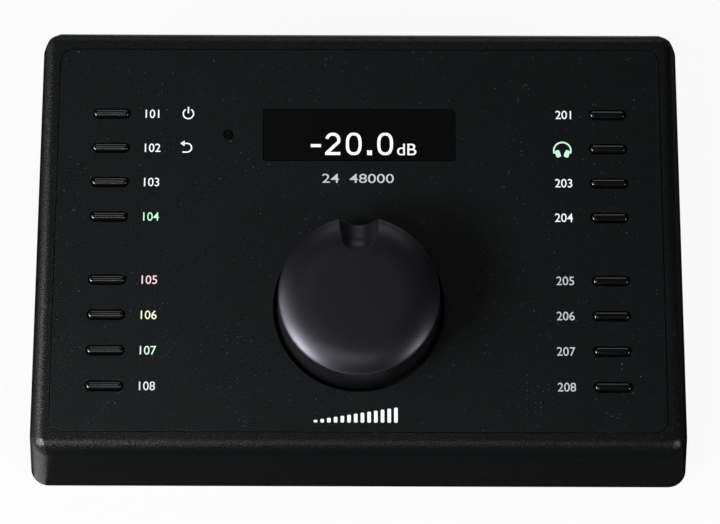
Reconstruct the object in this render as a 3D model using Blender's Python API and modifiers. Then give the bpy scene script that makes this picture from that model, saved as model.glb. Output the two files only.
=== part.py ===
"""Desktop studio monitor controller: a wedge case with a tilted control panel.

World axes: +X right, -Y front, +Z up, metres. The feet stand on z = 0 and the
origin is the bottom centre of the whole object. The control panel has its own
frame, an empty at the panel's centre whose z axis is the panel's normal.
"""

import math

import bmesh
import bpy
from mathutils import Matrix, Vector

# Fits shared by all pieces
SEAT_GAP = 0.0003          # between pieces that rest on each other
OVERRUN = 0.0010           # how far a cutter passes the face that it cuts
MERGE_DISTANCE = 0.00001

# Case
PANEL_TILT = math.radians(13.0)
FRONT_DRAFT = math.radians(5.0)
CASE_TOP_WIDTH = 0.1986
CASE_BASE_WIDTH = 0.2040
CASE_FRONT_HEIGHT = 0.0225
CASE_WALL = 0.0025
CASE_TOP_WALL = 0.0040
CASE_EDGE_RADIUS = 0.0040
CASE_CORNER_RADIUS = 0.0060
BEZEL_SIDE = 0.0058
BEZEL_FRONT = 0.0059
BEZEL_REAR = 0.0067
LEDGE_WIDTH = 0.0060       # shelf under the panel plate's rim
POST_RADIUS = 0.0036       # corner posts that take the base screws
POST_INSET = 0.0098
POST_HOLE_DEPTH = 0.0070

# Panel plate
OVERLAY_LENGTH = 0.1208
OVERLAY_THICKNESS = 0.0015
OVERLAY_CORNER_RADIUS = 0.0040

# Display window and sensor
WINDOW_WIDTH = 0.0598
WINDOW_HEIGHT = 0.0169
WINDOW_REAR_share = 0.1232  # of the panel's spare length, behind the window
WINDOW_CORNER_RADIUS = 0.0008
FLANGE_LIP = 0.0012        # how far a flange reaches under the panel plate
FLANGE_THICKNESS = 0.0008
MODULE_RIM = 0.0022        # the module is larger than the window by this
SENSOR_HOLE_RADIUS = 0.0016
SENSOR_SPACING = 0.0108    # window's side to the sensor's axis

# Knob and its well
KNOB_FRONT_share = 0.1820   # of the panel's spare length, in front of the knob
KNOB_RADIUS = 0.0250
KNOB_TOP_RADIUS = 0.0242
KNOB_RISE = 0.0198
CROWN_REACH = 0.0120         # from the rim towards the axis
CROWN_DROP = 0.0027
CROWN_POWER = 2.6
KNOB_WALL = 0.0024
KNOB_SKIRT = 0.0044        # how far the knob reaches below the panel
KNOB_TRAVEL = 0.0005
KNOB_HUB_RADIUS = 0.0066
DIMPLE_RADIUS = 0.0065
DIMPLE_DEPTH = 0.0040
DIMPLE_REACH = 0.0104      # from the rim towards the axis
DIMPLE_SLOPE = math.radians(9.0)
WELL_GAP = 0.0012
WELL_WALL = 0.0015
WELL_DISH = 0.0004         # the cup is wider than the plate's hole by this

# Push encoder under the knob
SHAFT_RADIUS = 0.0030
SHAFT_RISE = 0.0095
SHAFT_FLAT_DEPTH = 0.0008
BUSHING_RADIUS = 0.0045
BUSHING_RISE = 0.0032      # above the well's floor
BORE_CLEARANCE = 0.0003
WASHER_RADIUS = 0.0068
WASHER_THICKNESS = 0.0005
NUT_ACROSS_FLATS = 0.0120
NUT_THICKNESS = 0.0020
BUSH_WALL = 0.0014
ENCODER_WIDTH = 0.0130
ENCODER_HEIGHT = 0.0068
PLUNGER_LENGTH = 0.0018
SHAFT_REACH = 0.0022       # how far the shaft enters the encoder's body

# Keys
KEY_SIDE_MARGIN = 0.0163   # panel's side edge to the column
KEY_TOP_MARGIN = 0.02095   # panel's rear edge to the first row
KEY_FRONT_MARGIN = 0.0139  # panel's front edge to the last row
KEY_GROUP_GAP = 0.00895    # extra room between the fourth and fifth rows
KEY_ROWS_PER_GROUP = 4
KEY_LENGTH = 0.0109
KEY_WIDTH = 0.0023
KEY_RISE = 0.0010
KEY_CREST_share = 0.86     # rounding as a share of the cap's half width
KEY_END_CLEARANCE = 0.0004
KEY_SIDE_CLEARANCE = 0.0005
KEY_FLANGE_LIP = 0.0007
KEY_FLANGE_THICKNESS = 0.0010
KEY_STEM_LENGTH = 0.0060
KEY_STEM_WIDTH = 0.0024
KEY_STEM_DEPTH = 0.0024
KEY_TRAVEL = 0.0007
KEY_SOCKET_WALL = 0.0010

# Boards
BOARD_THICKNESS = 0.0016
BOARD_CLEARANCE = 0.0010
BOARD_CORNER_RADIUS = 0.0030
SPACER_RADIUS = 0.0024
SPACER_INSET = 0.0050      # board's edge to a spacer's axis
SPACER_X_share = 0.62
MAIN_BOARD_SIDE_CLEARANCE = 0.0034  # to the case's screw posts
MAIN_BOARD_LENGTH = 0.0700
MAIN_BOARD_REAR_GAP = 0.0020
STANDOFF_HEIGHT = 0.0050
STANDOFF_RADIUS = 0.0030
STANDOFF_INSET = 0.0070
SHIELD_WIDTH = 0.0420
SHIELD_LENGTH = 0.0300
SHIELD_HEIGHT = 0.0045
SHIELD_X_share = 0.4706     # of the main board's half width
SHIELD_REAR_DISTANCE = 0.0500
RIBBON_WIDTH = 0.0240
RIBBON_THICKNESS = 0.0006
RIBBON_TOP_MARGIN = 0.0300  # panel's rear edge to the ribbon's upper end
RIBBON_RUN = 0.0030         # straight stretch at each end
RIBBON_SHIFT = 0.0080

# Base plate, screws and feet
FOOT_HEIGHT = 0.0030
FOOT_RADIUS = 0.0065
FOOT_EDGE = 0.0006
FOOT_INSET_X = 0.0220
FOOT_INSET_Y = 0.0190
BASE_THICKNESS = 0.0016
BASE_CLEARANCE = 0.0006
BASE_CORNER_RADIUS = 0.0020
SCREW_RADIUS = 0.0014
SCREW_HEAD_RADIUS = 0.0027
SCREW_LENGTH = 0.0070
SCREW_SINK = 0.0002

# Rear panel
REAR_WINDOW_SIDE = 0.0063  # case's side to the window
REAR_WINDOW_MARGIN = 0.00375  # above and below the audio connectors' flanges
REAR_WINDOW_RADIUS = 0.0020
REAR_PANEL_THICKNESS = 0.0020
REAR_PANEL_INSET = 0.0010
CONNECTOR_CLEARANCE = 0.0003
# Places in the row, seen from the front, in shares of the rear window's half width
XLR_X_shares = (-0.8065, -0.5108, -0.2151, 0.0806)
HEADPHONE_X_share = 0.3226
CLOCK_X_share = 0.4946
NETWORK_X_share = 0.6774
USB_X_share = 0.8656

# Three-pole round audio connectors
XLR_FLANGE_WIDTH = 0.0260
XLR_FLANGE_HEIGHT = 0.0310
XLR_FLANGE_THICKNESS = 0.0020
XLR_FLANGE_RADIUS = 0.0030
XLR_FLANGE_LIP = 0.0010
XLR_BOARD_CLEARANCE = 0.00105  # main board to the connectors' bodies
XLR_BODY_DEPTH = 0.0160
XLR_BORE_RADIUS = 0.0096
XLR_CORE_RADIUS = 0.0076
XLR_BORE_DEPTH = 0.0140
XLR_CONTACT_RADIUS = 0.0013
XLR_CONTACT_CIRCLE = 0.0040
XLR_PIN_LENGTH = 0.0110
LATCH_WIDTH = 0.0070
LATCH_HEIGHT = 0.0028
LATCH_RISE = 0.0018        # above the flange's face
LATCH_DEPTH = 0.0080       # into the connector
LATCH_TRAVEL = 0.0012
LATCH_CENTRE = 0.0123      # above the connector's axis

# Other connectors
HEADPHONE_WIDTH = 0.0130
HEADPHONE_DEPTH = 0.0300
HEADPHONE_BORE_RADIUS = 0.0033
HEADPHONE_BORE_DEPTH = 0.0280
HEADPHONE_FERRULE_RADIUS = 0.0046
HEADPHONE_FERRULE_RISE = 0.0030
HEADPHONE_NUT_FLATS = 0.0110
CLOCK_BARREL_RADIUS = 0.0048
CLOCK_BARREL_RISE = 0.0105
CLOCK_BORE_RADIUS = 0.0040
CLOCK_BORE_DEPTH = 0.0080
CLOCK_PIN_RADIUS = 0.0007
CLOCK_LUG_RADIUS = 0.0009
CLOCK_LUG_RISE = 0.0007
CLOCK_LUG_SETBACK = 0.0025
CLOCK_THREAD_RADIUS = 0.0060
CLOCK_BODY_DEPTH = 0.0120
CLOCK_NUT_FLATS = 0.0140
SOCKET_NUT_THICKNESS = 0.0018
NETWORK_WIDTH = 0.0160
NETWORK_HEIGHT = 0.0135
NETWORK_DEPTH = 0.0210
NETWORK_MOUTH_WIDTH = 0.0118
NETWORK_MOUTH_HEIGHT = 0.0072
NETWORK_MOUTH_DEPTH = 0.0130
NETWORK_KEYWAY_WIDTH = 0.0060
NETWORK_KEYWAY_DEPTH = 0.0020
USB_WIDTH = 0.0122
USB_HEIGHT = 0.0112
USB_DEPTH = 0.0160
USB_MOUTH_WIDTH = 0.0086
USB_MOUTH_HEIGHT = 0.0078
USB_MOUTH_CHAMFER = 0.0018
USB_MOUTH_DEPTH = 0.0090
USB_TONGUE_WIDTH = 0.0056
USB_TONGUE_HEIGHT = 0.0031
BOX_SOCKET_RISE = 0.0008   # how far the box sockets stand out of the rear panel
POWER_HEIGHT = 0.0310
POWER_BODY_WIDTH = 0.0100
POWER_BODY_DEPTH = 0.0130
POWER_RING_RADIUS = 0.0055
POWER_RING_RISE = 0.0016
POWER_BORE_RADIUS = 0.0032
POWER_BORE_DEPTH = 0.0095
POWER_PIN_RADIUS = 0.0010

# Facet counts
KNOB_STEPS = 48
WELL_STEPS = 48
ROUND_STEPS = 20
SMALL_STEPS = 12
PIN_STEPS = 8
CORNER_STEPS = 4
KEY_END_STEPS = 3
KEY_CREST_SEGMENTS = 2
EDGE_SEGMENTS = 4

# Sizes that follow from the ones above
overlay_width = CASE_TOP_WIDTH - 2 * BEZEL_SIDE
case_least_width = min(CASE_TOP_WIDTH, CASE_BASE_WIDTH)
case_top_length = OVERLAY_LENGTH + BEZEL_FRONT + BEZEL_REAR
case_front_shift = CASE_FRONT_HEIGHT * math.tan(FRONT_DRAFT)
case_depth = case_front_shift + case_top_length * math.cos(PANEL_TILT)
rear_face = case_depth - REAR_PANEL_INSET
rear_reach = SEAT_GAP + CLOCK_BARREL_RISE - REAR_PANEL_INSET
case_front_y = -(case_depth + rear_reach) / 2
panel_centre_run = OVERLAY_LENGTH / 2 + BEZEL_FRONT
flange_top = -(OVERLAY_THICKNESS + SEAT_GAP)
key_flange_bottom = flange_top - KEY_FLANGE_THICKNESS
socket_top = key_flange_bottom - KEY_TRAVEL - SEAT_GAP
stem_bottom = key_flange_bottom - KEY_STEM_DEPTH
pocket_floor = stem_bottom - KEY_TRAVEL - SEAT_GAP
well_floor_top = -(KNOB_SKIRT + KNOB_TRAVEL + 2 * SEAT_GAP)
well_floor_bottom = well_floor_top - WELL_WALL
board_top = min(well_floor_bottom, pocket_floor - KEY_SOCKET_WALL) - SEAT_GAP
board_bottom = board_top - BOARD_THICKNESS
well_hole_radius = KNOB_RADIUS + WELL_GAP
well_inner_radius = well_hole_radius + WELL_DISH
well_rim = WELL_DISH + WELL_WALL + SEAT_GAP

# How far the connectors' bodies reach under the panel plate, from its rear edge
connector_front = REAR_PANEL_INSET + XLR_BODY_DEPTH + BOARD_CLEARANCE
connector_reach = connector_front - board_bottom * math.sin(PANEL_TILT)
connector_run = connector_reach / math.cos(PANEL_TILT) - BEZEL_REAR

# Along the panel: what the display and the well need behind, between and in front of
# them, and the spare length that is shared out.
least_rear = connector_run + MODULE_RIM + SEAT_GAP
least_between = MODULE_RIM + well_rim
least_front = LEDGE_WIDTH + well_rim
least_length = least_rear + WINDOW_HEIGHT + least_between + 2 * well_hole_radius + least_front
spare_length = OVERLAY_LENGTH - least_length
window_y = OVERLAY_LENGTH / 2 - least_rear - spare_length * WINDOW_REAR_share - WINDOW_HEIGHT / 2
knob_y = least_front + spare_length * KNOB_FRONT_share + well_hole_radius - OVERLAY_LENGTH / 2
sensor_x = -(WINDOW_WIDTH / 2 + SENSOR_SPACING)
key_column_x = overlay_width / 2 - KEY_SIDE_MARGIN
key_rows_length = OVERLAY_LENGTH - KEY_TOP_MARGIN - KEY_FRONT_MARGIN
key_row_pitch = (key_rows_length - KEY_GROUP_GAP) / (2 * KEY_ROWS_PER_GROUP - 1)
base_top = BASE_THICKNESS
main_board_bottom = base_top + STANDOFF_HEIGHT + SEAT_GAP
main_board_top = main_board_bottom + BOARD_THICKNESS
xlr_body_width = XLR_FLANGE_WIDTH - 2 * (XLR_FLANGE_LIP + CONNECTOR_CLEARANCE)
xlr_body_height = XLR_FLANGE_HEIGHT - 2 * (XLR_FLANGE_LIP + CONNECTOR_CLEARANCE)
connector_z = main_board_top + XLR_BOARD_CLEARANCE + xlr_body_height / 2
rear_window_width = case_least_width - 2 * REAR_WINDOW_SIDE
rear_window_height = XLR_FLANGE_HEIGHT + 2 * REAR_WINDOW_MARGIN

for old in list(bpy.data.objects):
    bpy.data.objects.remove(old, do_unlink=True)

controller = bpy.data.collections.new("monitor_controller")
cutters = bpy.data.collections.new("cutters")
bpy.context.scene.collection.children.link(controller)
bpy.context.scene.collection.children.link(cutters)


def linear(code):
    """An sRGB hex colour as linear RGBA."""
    channels = []
    for start in (0, 2, 4):
        value = int(code[start:start + 2], 16) / 255
        channels.append(value / 12.92 if value <= 0.04045 else ((value + 0.055) / 1.055) ** 2.4)
    return (*channels, 1.0)


def finish(obj, colour, roughness, metallic=0.0, parent=None, location=(0, 0, 0)):
    """Give a piece its own material and put it in the object's collection."""
    material = bpy.data.materials.new(obj.name + "_material")
    material.use_nodes = True
    shader = material.node_tree.nodes["Principled BSDF"]
    shader.inputs["Base Color"].default_value = linear(colour)
    shader.inputs["Roughness"].default_value = roughness
    shader.inputs["Metallic"].default_value = metallic
    obj.data.materials.clear()
    obj.data.materials.append(material)
    controller.objects.link(obj)
    obj.parent = parent
    obj.location = location
    return obj


def frame_empty(name, location, tilt=0.0, parent=None):
    empty = bpy.data.objects.new(name, None)
    empty.empty_display_size = KNOB_RADIUS
    controller.objects.link(empty)
    empty.parent = parent
    empty.location = location
    empty.rotation_euler = (tilt, 0, 0)
    return empty


def mesh_object(name, mesh_builder):
    mesh = bpy.data.meshes.new(name)
    work = bmesh.new()
    mesh_builder(work)
    work.to_mesh(mesh)
    work.free()
    return bpy.data.objects.new(name, mesh)


def box(name, size, centre=(0, 0, 0)):
    def build(work):
        place = Matrix.Translation(centre) @ Matrix.Diagonal((*size, 1))
        bmesh.ops.create_cube(work, size=1, matrix=place)
    return mesh_object(name, build)


def cylinder(name, radius, bottom, top, centre=(0, 0), steps=ROUND_STEPS, top_radius=None):
    """An upright cylinder or cone between two heights."""
    def build(work):
        place = Matrix.Translation((*centre, (bottom + top) / 2))
        bmesh.ops.create_cone(
            work, cap_ends=True, segments=steps, radius1=radius,
            radius2=radius if top_radius is None else top_radius,
            depth=top - bottom, matrix=place)
    return mesh_object(name, build)


def turned(name, profile, steps, closed=False):
    """A profile of (radius, height) points turned about z, outer side top to bottom."""
    mesh = bpy.data.meshes.new(name)
    edges = [(i, i + 1) for i in range(len(profile) - 1)]
    if closed:
        edges.append((len(profile) - 1, 0))
    mesh.from_pydata([(radius, 0, height) for radius, height in profile], edges, [])
    obj = bpy.data.objects.new(name, mesh)
    screw = obj.modifiers.new("turn", "SCREW")
    screw.steps = steps
    screw.render_steps = steps
    screw.use_merge_vertices = True
    screw.merge_threshold = MERGE_DISTANCE
    return obj


def evaluated_mesh(obj):
    """The mesh of an object with its modifiers applied."""
    linked = bool(obj.users_collection)
    if not linked:
        cutters.objects.link(obj)
    bpy.context.view_layer.update()
    graph = bpy.context.evaluated_depsgraph_get()
    mesh = bpy.data.meshes.new_from_object(obj.evaluated_get(graph))
    if not linked:
        cutters.objects.unlink(obj)
    return mesh


def rounded_rectangle(width, length, radius, centre=(0, 0), steps=CORNER_STEPS):
    points = []
    for turn, (side, end) in enumerate(((1, 1), (-1, 1), (-1, -1), (1, -1))):
        middle = Vector(centre) + Vector((side * (width / 2 - radius), end * (length / 2 - radius)))
        for step in range(steps + 1):
            angle = math.pi / 2 * (turn + step / steps)
            point = middle + radius * Vector((math.cos(angle), math.sin(angle)))
            if not points or (point - points[-1]).length > MERGE_DISTANCE:
                points.append(point)
    if (points[0] - points[-1]).length < MERGE_DISTANCE:
        points.pop()
    return points


def circle(radius, centre=(0, 0), steps=ROUND_STEPS):
    return [
        Vector(centre) + radius * Vector((math.cos(math.tau * i / steps), math.sin(math.tau * i / steps)))
        for i in range(steps)
    ]


def plate(name, outlines, bottom, top):
    """A flat outline with its holes, filled and given its thickness."""
    curve = bpy.data.curves.new(name, "CURVE")
    curve.dimensions = "2D"
    curve.fill_mode = "BOTH"
    curve.extrude = (top - bottom) / 2
    for outline in outlines:
        spline = curve.splines.new("POLY")
        spline.points.add(len(outline) - 1)
        for point, place in zip(spline.points, outline):
            point.co = (place[0], place[1], 0, 1)
        spline.use_cyclic_u = True
    drawn = bpy.data.objects.new(name + "_curve", curve)
    mesh = evaluated_mesh(drawn)
    work = bmesh.new()
    work.from_mesh(mesh)
    bmesh.ops.remove_doubles(work, verts=work.verts, dist=MERGE_DISTANCE)
    bmesh.ops.translate(work, verts=work.verts, vec=(0, 0, (top + bottom) / 2))
    bmesh.ops.recalc_face_normals(work, faces=work.faces)
    if len(outlines) == 1:
        flat = math.radians(1)
        bmesh.ops.dissolve_limit(work, angle_limit=flat, verts=work.verts, edges=work.edges)
    work.to_mesh(mesh)
    work.free()
    bpy.data.objects.remove(drawn, do_unlink=True)
    return bpy.data.objects.new(name, mesh)


def turn_to_rear(obj):
    """Lay an upright shape along +Y, so that its top faces the rear and its y is height."""
    obj.data.transform(Matrix.Rotation(-math.pi / 2, 4, "X") @ Matrix.Rotation(math.pi, 4, "Z"))
    return obj


def combine(target, tool, operation):
    cutters.objects.link(tool)
    tool.parent = target
    tool.hide_render = True
    tool.display_type = "WIRE"
    step = target.modifiers.new(tool.name, "BOOLEAN")
    step.operation = operation
    step.solver = "EXACT"
    step.object = tool
    return target


def cut(target, tool):
    return combine(target, tool, "DIFFERENCE")


def fuse(target, tool):
    return combine(target, tool, "UNION")


def smooth(obj, angle=math.radians(35)):
    obj.data.shade_smooth()
    obj.data.set_sharp_from_angle(angle=angle)
    return obj


def wedge(name, inset, top_drop, bottom_drop):
    """The case's outer form, or the form inset by a wall."""
    def build(work):
        bmesh.ops.create_cube(work, size=1)
        for corner in work.verts:
            side, end, level = (math.copysign(1, value) for value in corner.co)
            if level > 0:
                half = CASE_TOP_WIDTH / 2 - inset
                y = case_front_shift + inset if end < 0 else case_depth - inset
                z = CASE_FRONT_HEIGHT + (y - case_front_shift) * math.tan(PANEL_TILT) - top_drop
            else:
                half = CASE_BASE_WIDTH / 2 - inset
                y = inset if end < 0 else case_depth - inset
                z = -bottom_drop
            corner.co = (side * half, y, z)
    return mesh_object(name, build)


# Frames. The case frame sits at the front base edge; the panel frame at the
# centre of the panel plate, tilted with the panel.
case_frame = frame_empty("case_frame", (0, case_front_y, FOOT_HEIGHT))
panel_place = Vector((
    0,
    case_front_shift + panel_centre_run * math.cos(PANEL_TILT),
    CASE_FRONT_HEIGHT + panel_centre_run * math.sin(PANEL_TILT),
))
panel_frame = frame_empty("panel_frame", panel_place, PANEL_TILT, case_frame)
knob_frame = frame_empty("knob_frame", (0, knob_y, 0), 0.0, panel_frame)


# Case shell: a die-cast wedge, open below, with a shelf for the panel plate,
# an opening for the connector panel and four screw posts in its corners.
case_shell = wedge("case_shell", 0, 0, 0)
weights = case_shell.data.attributes.new("bevel_weight_edge", "FLOAT", "EDGE")
for edge in case_shell.data.edges:
    ends = [case_shell.data.vertices[i].co for i in edge.vertices]
    if min(end.z for end in ends) > 0:
        weights.data[edge.index].value = CASE_EDGE_RADIUS / CASE_CORNER_RADIUS
    elif max(end.z for end in ends) > 0:
        weights.data[edge.index].value = 1
rounding = case_shell.modifiers.new("rounding", "BEVEL")
rounding.limit_method = "WEIGHT"
rounding.width = CASE_CORNER_RADIUS
rounding.offset_type = "WIDTH"
rounding.segments = EDGE_SEGMENTS
rounding.use_clamp_overlap = False
cut(case_shell, wedge("case_cavity", CASE_WALL, CASE_TOP_WALL, OVERRUN))

post_x = case_least_width / 2 - POST_INSET + CASE_WALL
post_bottom = base_top + SEAT_GAP
post_places = [
    (side * post_x, POST_INSET if end < 0 else case_depth - POST_INSET)
    for end in (-1, 1)
    for side in (-1, 1)
]
for number, (x, y) in enumerate(post_places, 1):
    outer = CASE_FRONT_HEIGHT + (y - case_front_shift) * math.tan(PANEL_TILT)
    reach = outer - CASE_TOP_WALL / 2
    fuse(case_shell, cylinder(f"post_{number}", POST_RADIUS, post_bottom, reach, (x, y), SMALL_STEPS))
    cut(case_shell, cylinder(
        f"post_hole_{number}", SCREW_RADIUS + BORE_CLEARANCE, post_bottom - OVERRUN,
        post_bottom + POST_HOLE_DEPTH, (x, y), PIN_STEPS))

recess_depth = OVERLAY_THICKNESS + SEAT_GAP
recess = plate(
    "panel_recess",
    [rounded_rectangle(
        overlay_width + 2 * SEAT_GAP, OVERLAY_LENGTH + 2 * SEAT_GAP,
        OVERLAY_CORNER_RADIUS + SEAT_GAP)],
    -recess_depth, OVERRUN)
opening_width = overlay_width - 2 * LEDGE_WIDTH
opening_length = OVERLAY_LENGTH - 2 * LEDGE_WIDTH
opening = plate(
    "panel_opening",
    [rounded_rectangle(opening_width, opening_length, OVERLAY_CORNER_RADIUS)],
    -(CASE_TOP_WALL + OVERRUN), OVERRUN - recess_depth)
to_case = Matrix.Translation(panel_place) @ Matrix.Rotation(PANEL_TILT, 4, "X")
for tool in (recess, opening):
    tool.data.transform(to_case)
    cut(case_shell, tool)

rear_window_centre = (0, connector_z)
rear_window = turn_to_rear(plate(
    "rear_window",
    [rounded_rectangle(rear_window_width, rear_window_height, REAR_WINDOW_RADIUS, rear_window_centre)],
    case_depth - CASE_WALL - OVERRUN, case_depth + OVERRUN))
cut(case_shell, rear_window)
finish(case_shell, "1a1b1d", 0.45, 0.0, case_frame)


# Base plate: closes the case from below and carries the main board.
base_y = case_depth / 2
base_width = CASE_BASE_WIDTH - 2 * (CASE_WALL + BASE_CLEARANCE)
base_length = case_depth - 2 * (CASE_WALL + BASE_CLEARANCE)
base_plate = plate(
    "base_plate",
    [rounded_rectangle(base_width, base_length, BASE_CORNER_RADIUS, (0, base_y))],
    0, BASE_THICKNESS)
board_rear = rear_face - REAR_PANEL_THICKNESS - MAIN_BOARD_REAR_GAP
board_y = board_rear - MAIN_BOARD_LENGTH / 2
main_board_width = 2 * (post_x - POST_RADIUS - MAIN_BOARD_SIDE_CLEARANCE)
standoff_x = main_board_width / 2 - STANDOFF_INSET
standoff_run = MAIN_BOARD_LENGTH / 2 - STANDOFF_INSET
standoffs = [
    (side * standoff_x, board_y + end * standoff_run)
    for end in (-1, 1)
    for side in (-1, 1)
]
for number, place in enumerate(standoffs, 1):
    fuse(base_plate, cylinder(
        f"standoff_{number}", STANDOFF_RADIUS, BASE_THICKNESS / 2, base_top + STANDOFF_HEIGHT,
        place, SMALL_STEPS))
for number, place in enumerate(post_places, 1):
    cut(base_plate, cylinder(
        f"base_hole_{number}", SCREW_HEAD_RADIUS + BORE_CLEARANCE, -SCREW_SINK, BASE_THICKNESS + SCREW_SINK,
        place, SMALL_STEPS, SCREW_RADIUS + BORE_CLEARANCE))
finish(base_plate, "202123", 0.5, 0.0, case_frame)

for number, place in enumerate(post_places, 1):
    screw = turned(
        f"base_screw_{number}",
        [
            (0, SCREW_LENGTH),
            (SCREW_RADIUS, SCREW_LENGTH),
            (SCREW_RADIUS, BASE_THICKNESS - SCREW_SINK),
            (SCREW_HEAD_RADIUS, SCREW_SINK),
            (0, SCREW_SINK),
        ], SMALL_STEPS)
    finish(smooth(screw), "26272a", 0.35, 1.0, case_frame, (*place, 0))

foot_places = [
    (side * (CASE_BASE_WIDTH / 2 - FOOT_INSET_X), FOOT_INSET_Y if end < 0 else case_depth - FOOT_INSET_Y)
    for end in (-1, 1)
    for side in (-1, 1)
]
for number, place in enumerate(foot_places, 1):
    foot = turned(
        f"foot_{number}",
        [
            (0, FOOT_HEIGHT - SEAT_GAP),
            (FOOT_RADIUS, FOOT_HEIGHT - SEAT_GAP),
            (FOOT_RADIUS, FOOT_EDGE),
            (FOOT_RADIUS - FOOT_EDGE, 0),
            (0, 0),
        ], ROUND_STEPS)
    finish(smooth(foot), "141414", 0.85, 0.0, case_frame, (*place, -FOOT_HEIGHT))


# Panel plate, in the panel frame.
key_rows = []
row_y = OVERLAY_LENGTH / 2 - KEY_TOP_MARGIN
for group in range(2):
    key_rows.extend(row_y - key_row_pitch * row for row in range(KEY_ROWS_PER_GROUP))
    row_y = key_rows[-1] - key_row_pitch - KEY_GROUP_GAP
key_places = [(side * key_column_x, row) for side in (-1, 1) for row in key_rows]

slot_length = KEY_LENGTH + 2 * KEY_END_CLEARANCE
slot_width = KEY_WIDTH + 2 * KEY_SIDE_CLEARANCE
overlay_outlines = [rounded_rectangle(overlay_width, OVERLAY_LENGTH, OVERLAY_CORNER_RADIUS)]
for place in key_places:
    overlay_outlines.append(rounded_rectangle(
        slot_length, slot_width, slot_width / 2, place, KEY_END_STEPS))
overlay_outlines.append(rounded_rectangle(
    WINDOW_WIDTH, WINDOW_HEIGHT, WINDOW_CORNER_RADIUS, (0, window_y)))
overlay_outlines.append(circle(well_hole_radius, (0, knob_y), WELL_STEPS))
overlay_outlines.append(circle(SENSOR_HOLE_RADIUS, (sensor_x, window_y), SMALL_STEPS))
front_overlay = plate("front_overlay", overlay_outlines, -OVERLAY_THICKNESS, 0)
finish(front_overlay, "17181a", 0.5, 0.0, panel_frame)


# Display window with a flange under the plate, and the display behind it.
display_glass = plate(
    "display_glass",
    [rounded_rectangle(
        WINDOW_WIDTH - 2 * SEAT_GAP, WINDOW_HEIGHT - 2 * SEAT_GAP,
        WINDOW_CORNER_RADIUS - SEAT_GAP, (0, window_y))],
    flange_top - FLANGE_THICKNESS / 2, 0)
fuse(display_glass, box(
    "glass_flange",
    (WINDOW_WIDTH + 2 * FLANGE_LIP, WINDOW_HEIGHT + 2 * FLANGE_LIP, FLANGE_THICKNESS),
    (0, window_y, flange_top - FLANGE_THICKNESS / 2)))
finish(display_glass, "070708", 0.08, 0.0, panel_frame)

flange_bottom = flange_top - FLANGE_THICKNESS
module_top = flange_bottom - SEAT_GAP
module_bottom = board_top + SEAT_GAP
display_module = box(
    "display_module",
    (WINDOW_WIDTH + 2 * MODULE_RIM, WINDOW_HEIGHT + 2 * MODULE_RIM, module_top - module_bottom),
    (0, window_y, (module_top + module_bottom) / 2))
finish(display_module, "1c1d20", 0.4, 0.0, panel_frame)

sensor_radius = SENSOR_HOLE_RADIUS - SEAT_GAP
sensor_lens = turned(
    "sensor_lens",
    [
        (0, 0),
        (sensor_radius, -sensor_radius / 4),
        (sensor_radius, flange_top),
        (sensor_radius + FLANGE_LIP, flange_top),
        (sensor_radius + FLANGE_LIP, flange_bottom),
        (sensor_radius, flange_bottom),
        (sensor_radius, board_top + SEAT_GAP),
        (0, board_top + SEAT_GAP),
    ], SMALL_STEPS)
finish(smooth(sensor_lens), "0c0c0e", 0.15, 0.0, panel_frame, (sensor_x, window_y, 0))


# Knob well: a cup behind the plate's round hole. The encoder is clamped to its floor.
shaft_bore_radius = SHAFT_RADIUS + BORE_CLEARANCE
bushing_hole_radius = BUSHING_RADIUS + BORE_CLEARANCE
knob_well = turned(
    "knob_well",
    [
        (well_inner_radius + WELL_WALL, flange_top),
        (well_inner_radius + WELL_WALL, well_floor_bottom),
        (bushing_hole_radius, well_floor_bottom),
        (bushing_hole_radius, well_floor_top),
        (well_inner_radius - WELL_WALL, well_floor_top),
        (well_inner_radius, well_floor_top + WELL_WALL),
        (well_inner_radius, flange_top),
    ], WELL_STEPS, closed=True)
finish(smooth(knob_well), "101012", 0.6, 0.0, knob_frame)


# Encoder: body below the control board, bushing up through board and well floor.
body_top = board_bottom - SEAT_GAP
bushing_top = well_floor_top + BUSHING_RISE
shaft_bottom = body_top - SHAFT_REACH
plunger_top = shaft_bottom - SEAT_GAP
plunger_bottom = plunger_top - PLUNGER_LENGTH
bore_bottom = plunger_bottom - KNOB_TRAVEL - SEAT_GAP
encoder_body = box(
    "encoder_body", (ENCODER_WIDTH, ENCODER_WIDTH, ENCODER_HEIGHT),
    (0, 0, body_top - ENCODER_HEIGHT / 2))
fuse(encoder_body, cylinder(
    "bushing", BUSHING_RADIUS, body_top - ENCODER_HEIGHT / 2, bushing_top, steps=ROUND_STEPS))
cut(encoder_body, cylinder("bushing_bore", shaft_bore_radius, bore_bottom, bushing_top + OVERRUN))
finish(encoder_body, "8e9094", 0.35, 1.0, knob_frame)

washer_bottom = well_floor_top + SEAT_GAP
nut_bottom = washer_bottom + WASHER_THICKNESS + SEAT_GAP
encoder_washer = plate(
    "encoder_washer",
    [circle(WASHER_RADIUS), circle(bushing_hole_radius)],
    washer_bottom, washer_bottom + WASHER_THICKNESS)
finish(encoder_washer, "9a9ca0", 0.3, 1.0, knob_frame)


def hexagon(across_flats):
    return circle(across_flats / math.sqrt(3), steps=6)


encoder_nut = plate(
    "encoder_nut",
    [hexagon(NUT_ACROSS_FLATS), circle(bushing_hole_radius)],
    nut_bottom, nut_bottom + NUT_THICKNESS)
finish(encoder_nut, "9a9ca0", 0.3, 1.0, knob_frame)

encoder_plunger = cylinder("encoder_plunger", SHAFT_RADIUS, plunger_bottom, plunger_top)
finish(smooth(encoder_plunger), "b08d4a", 0.35, 1.0, knob_frame)

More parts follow.
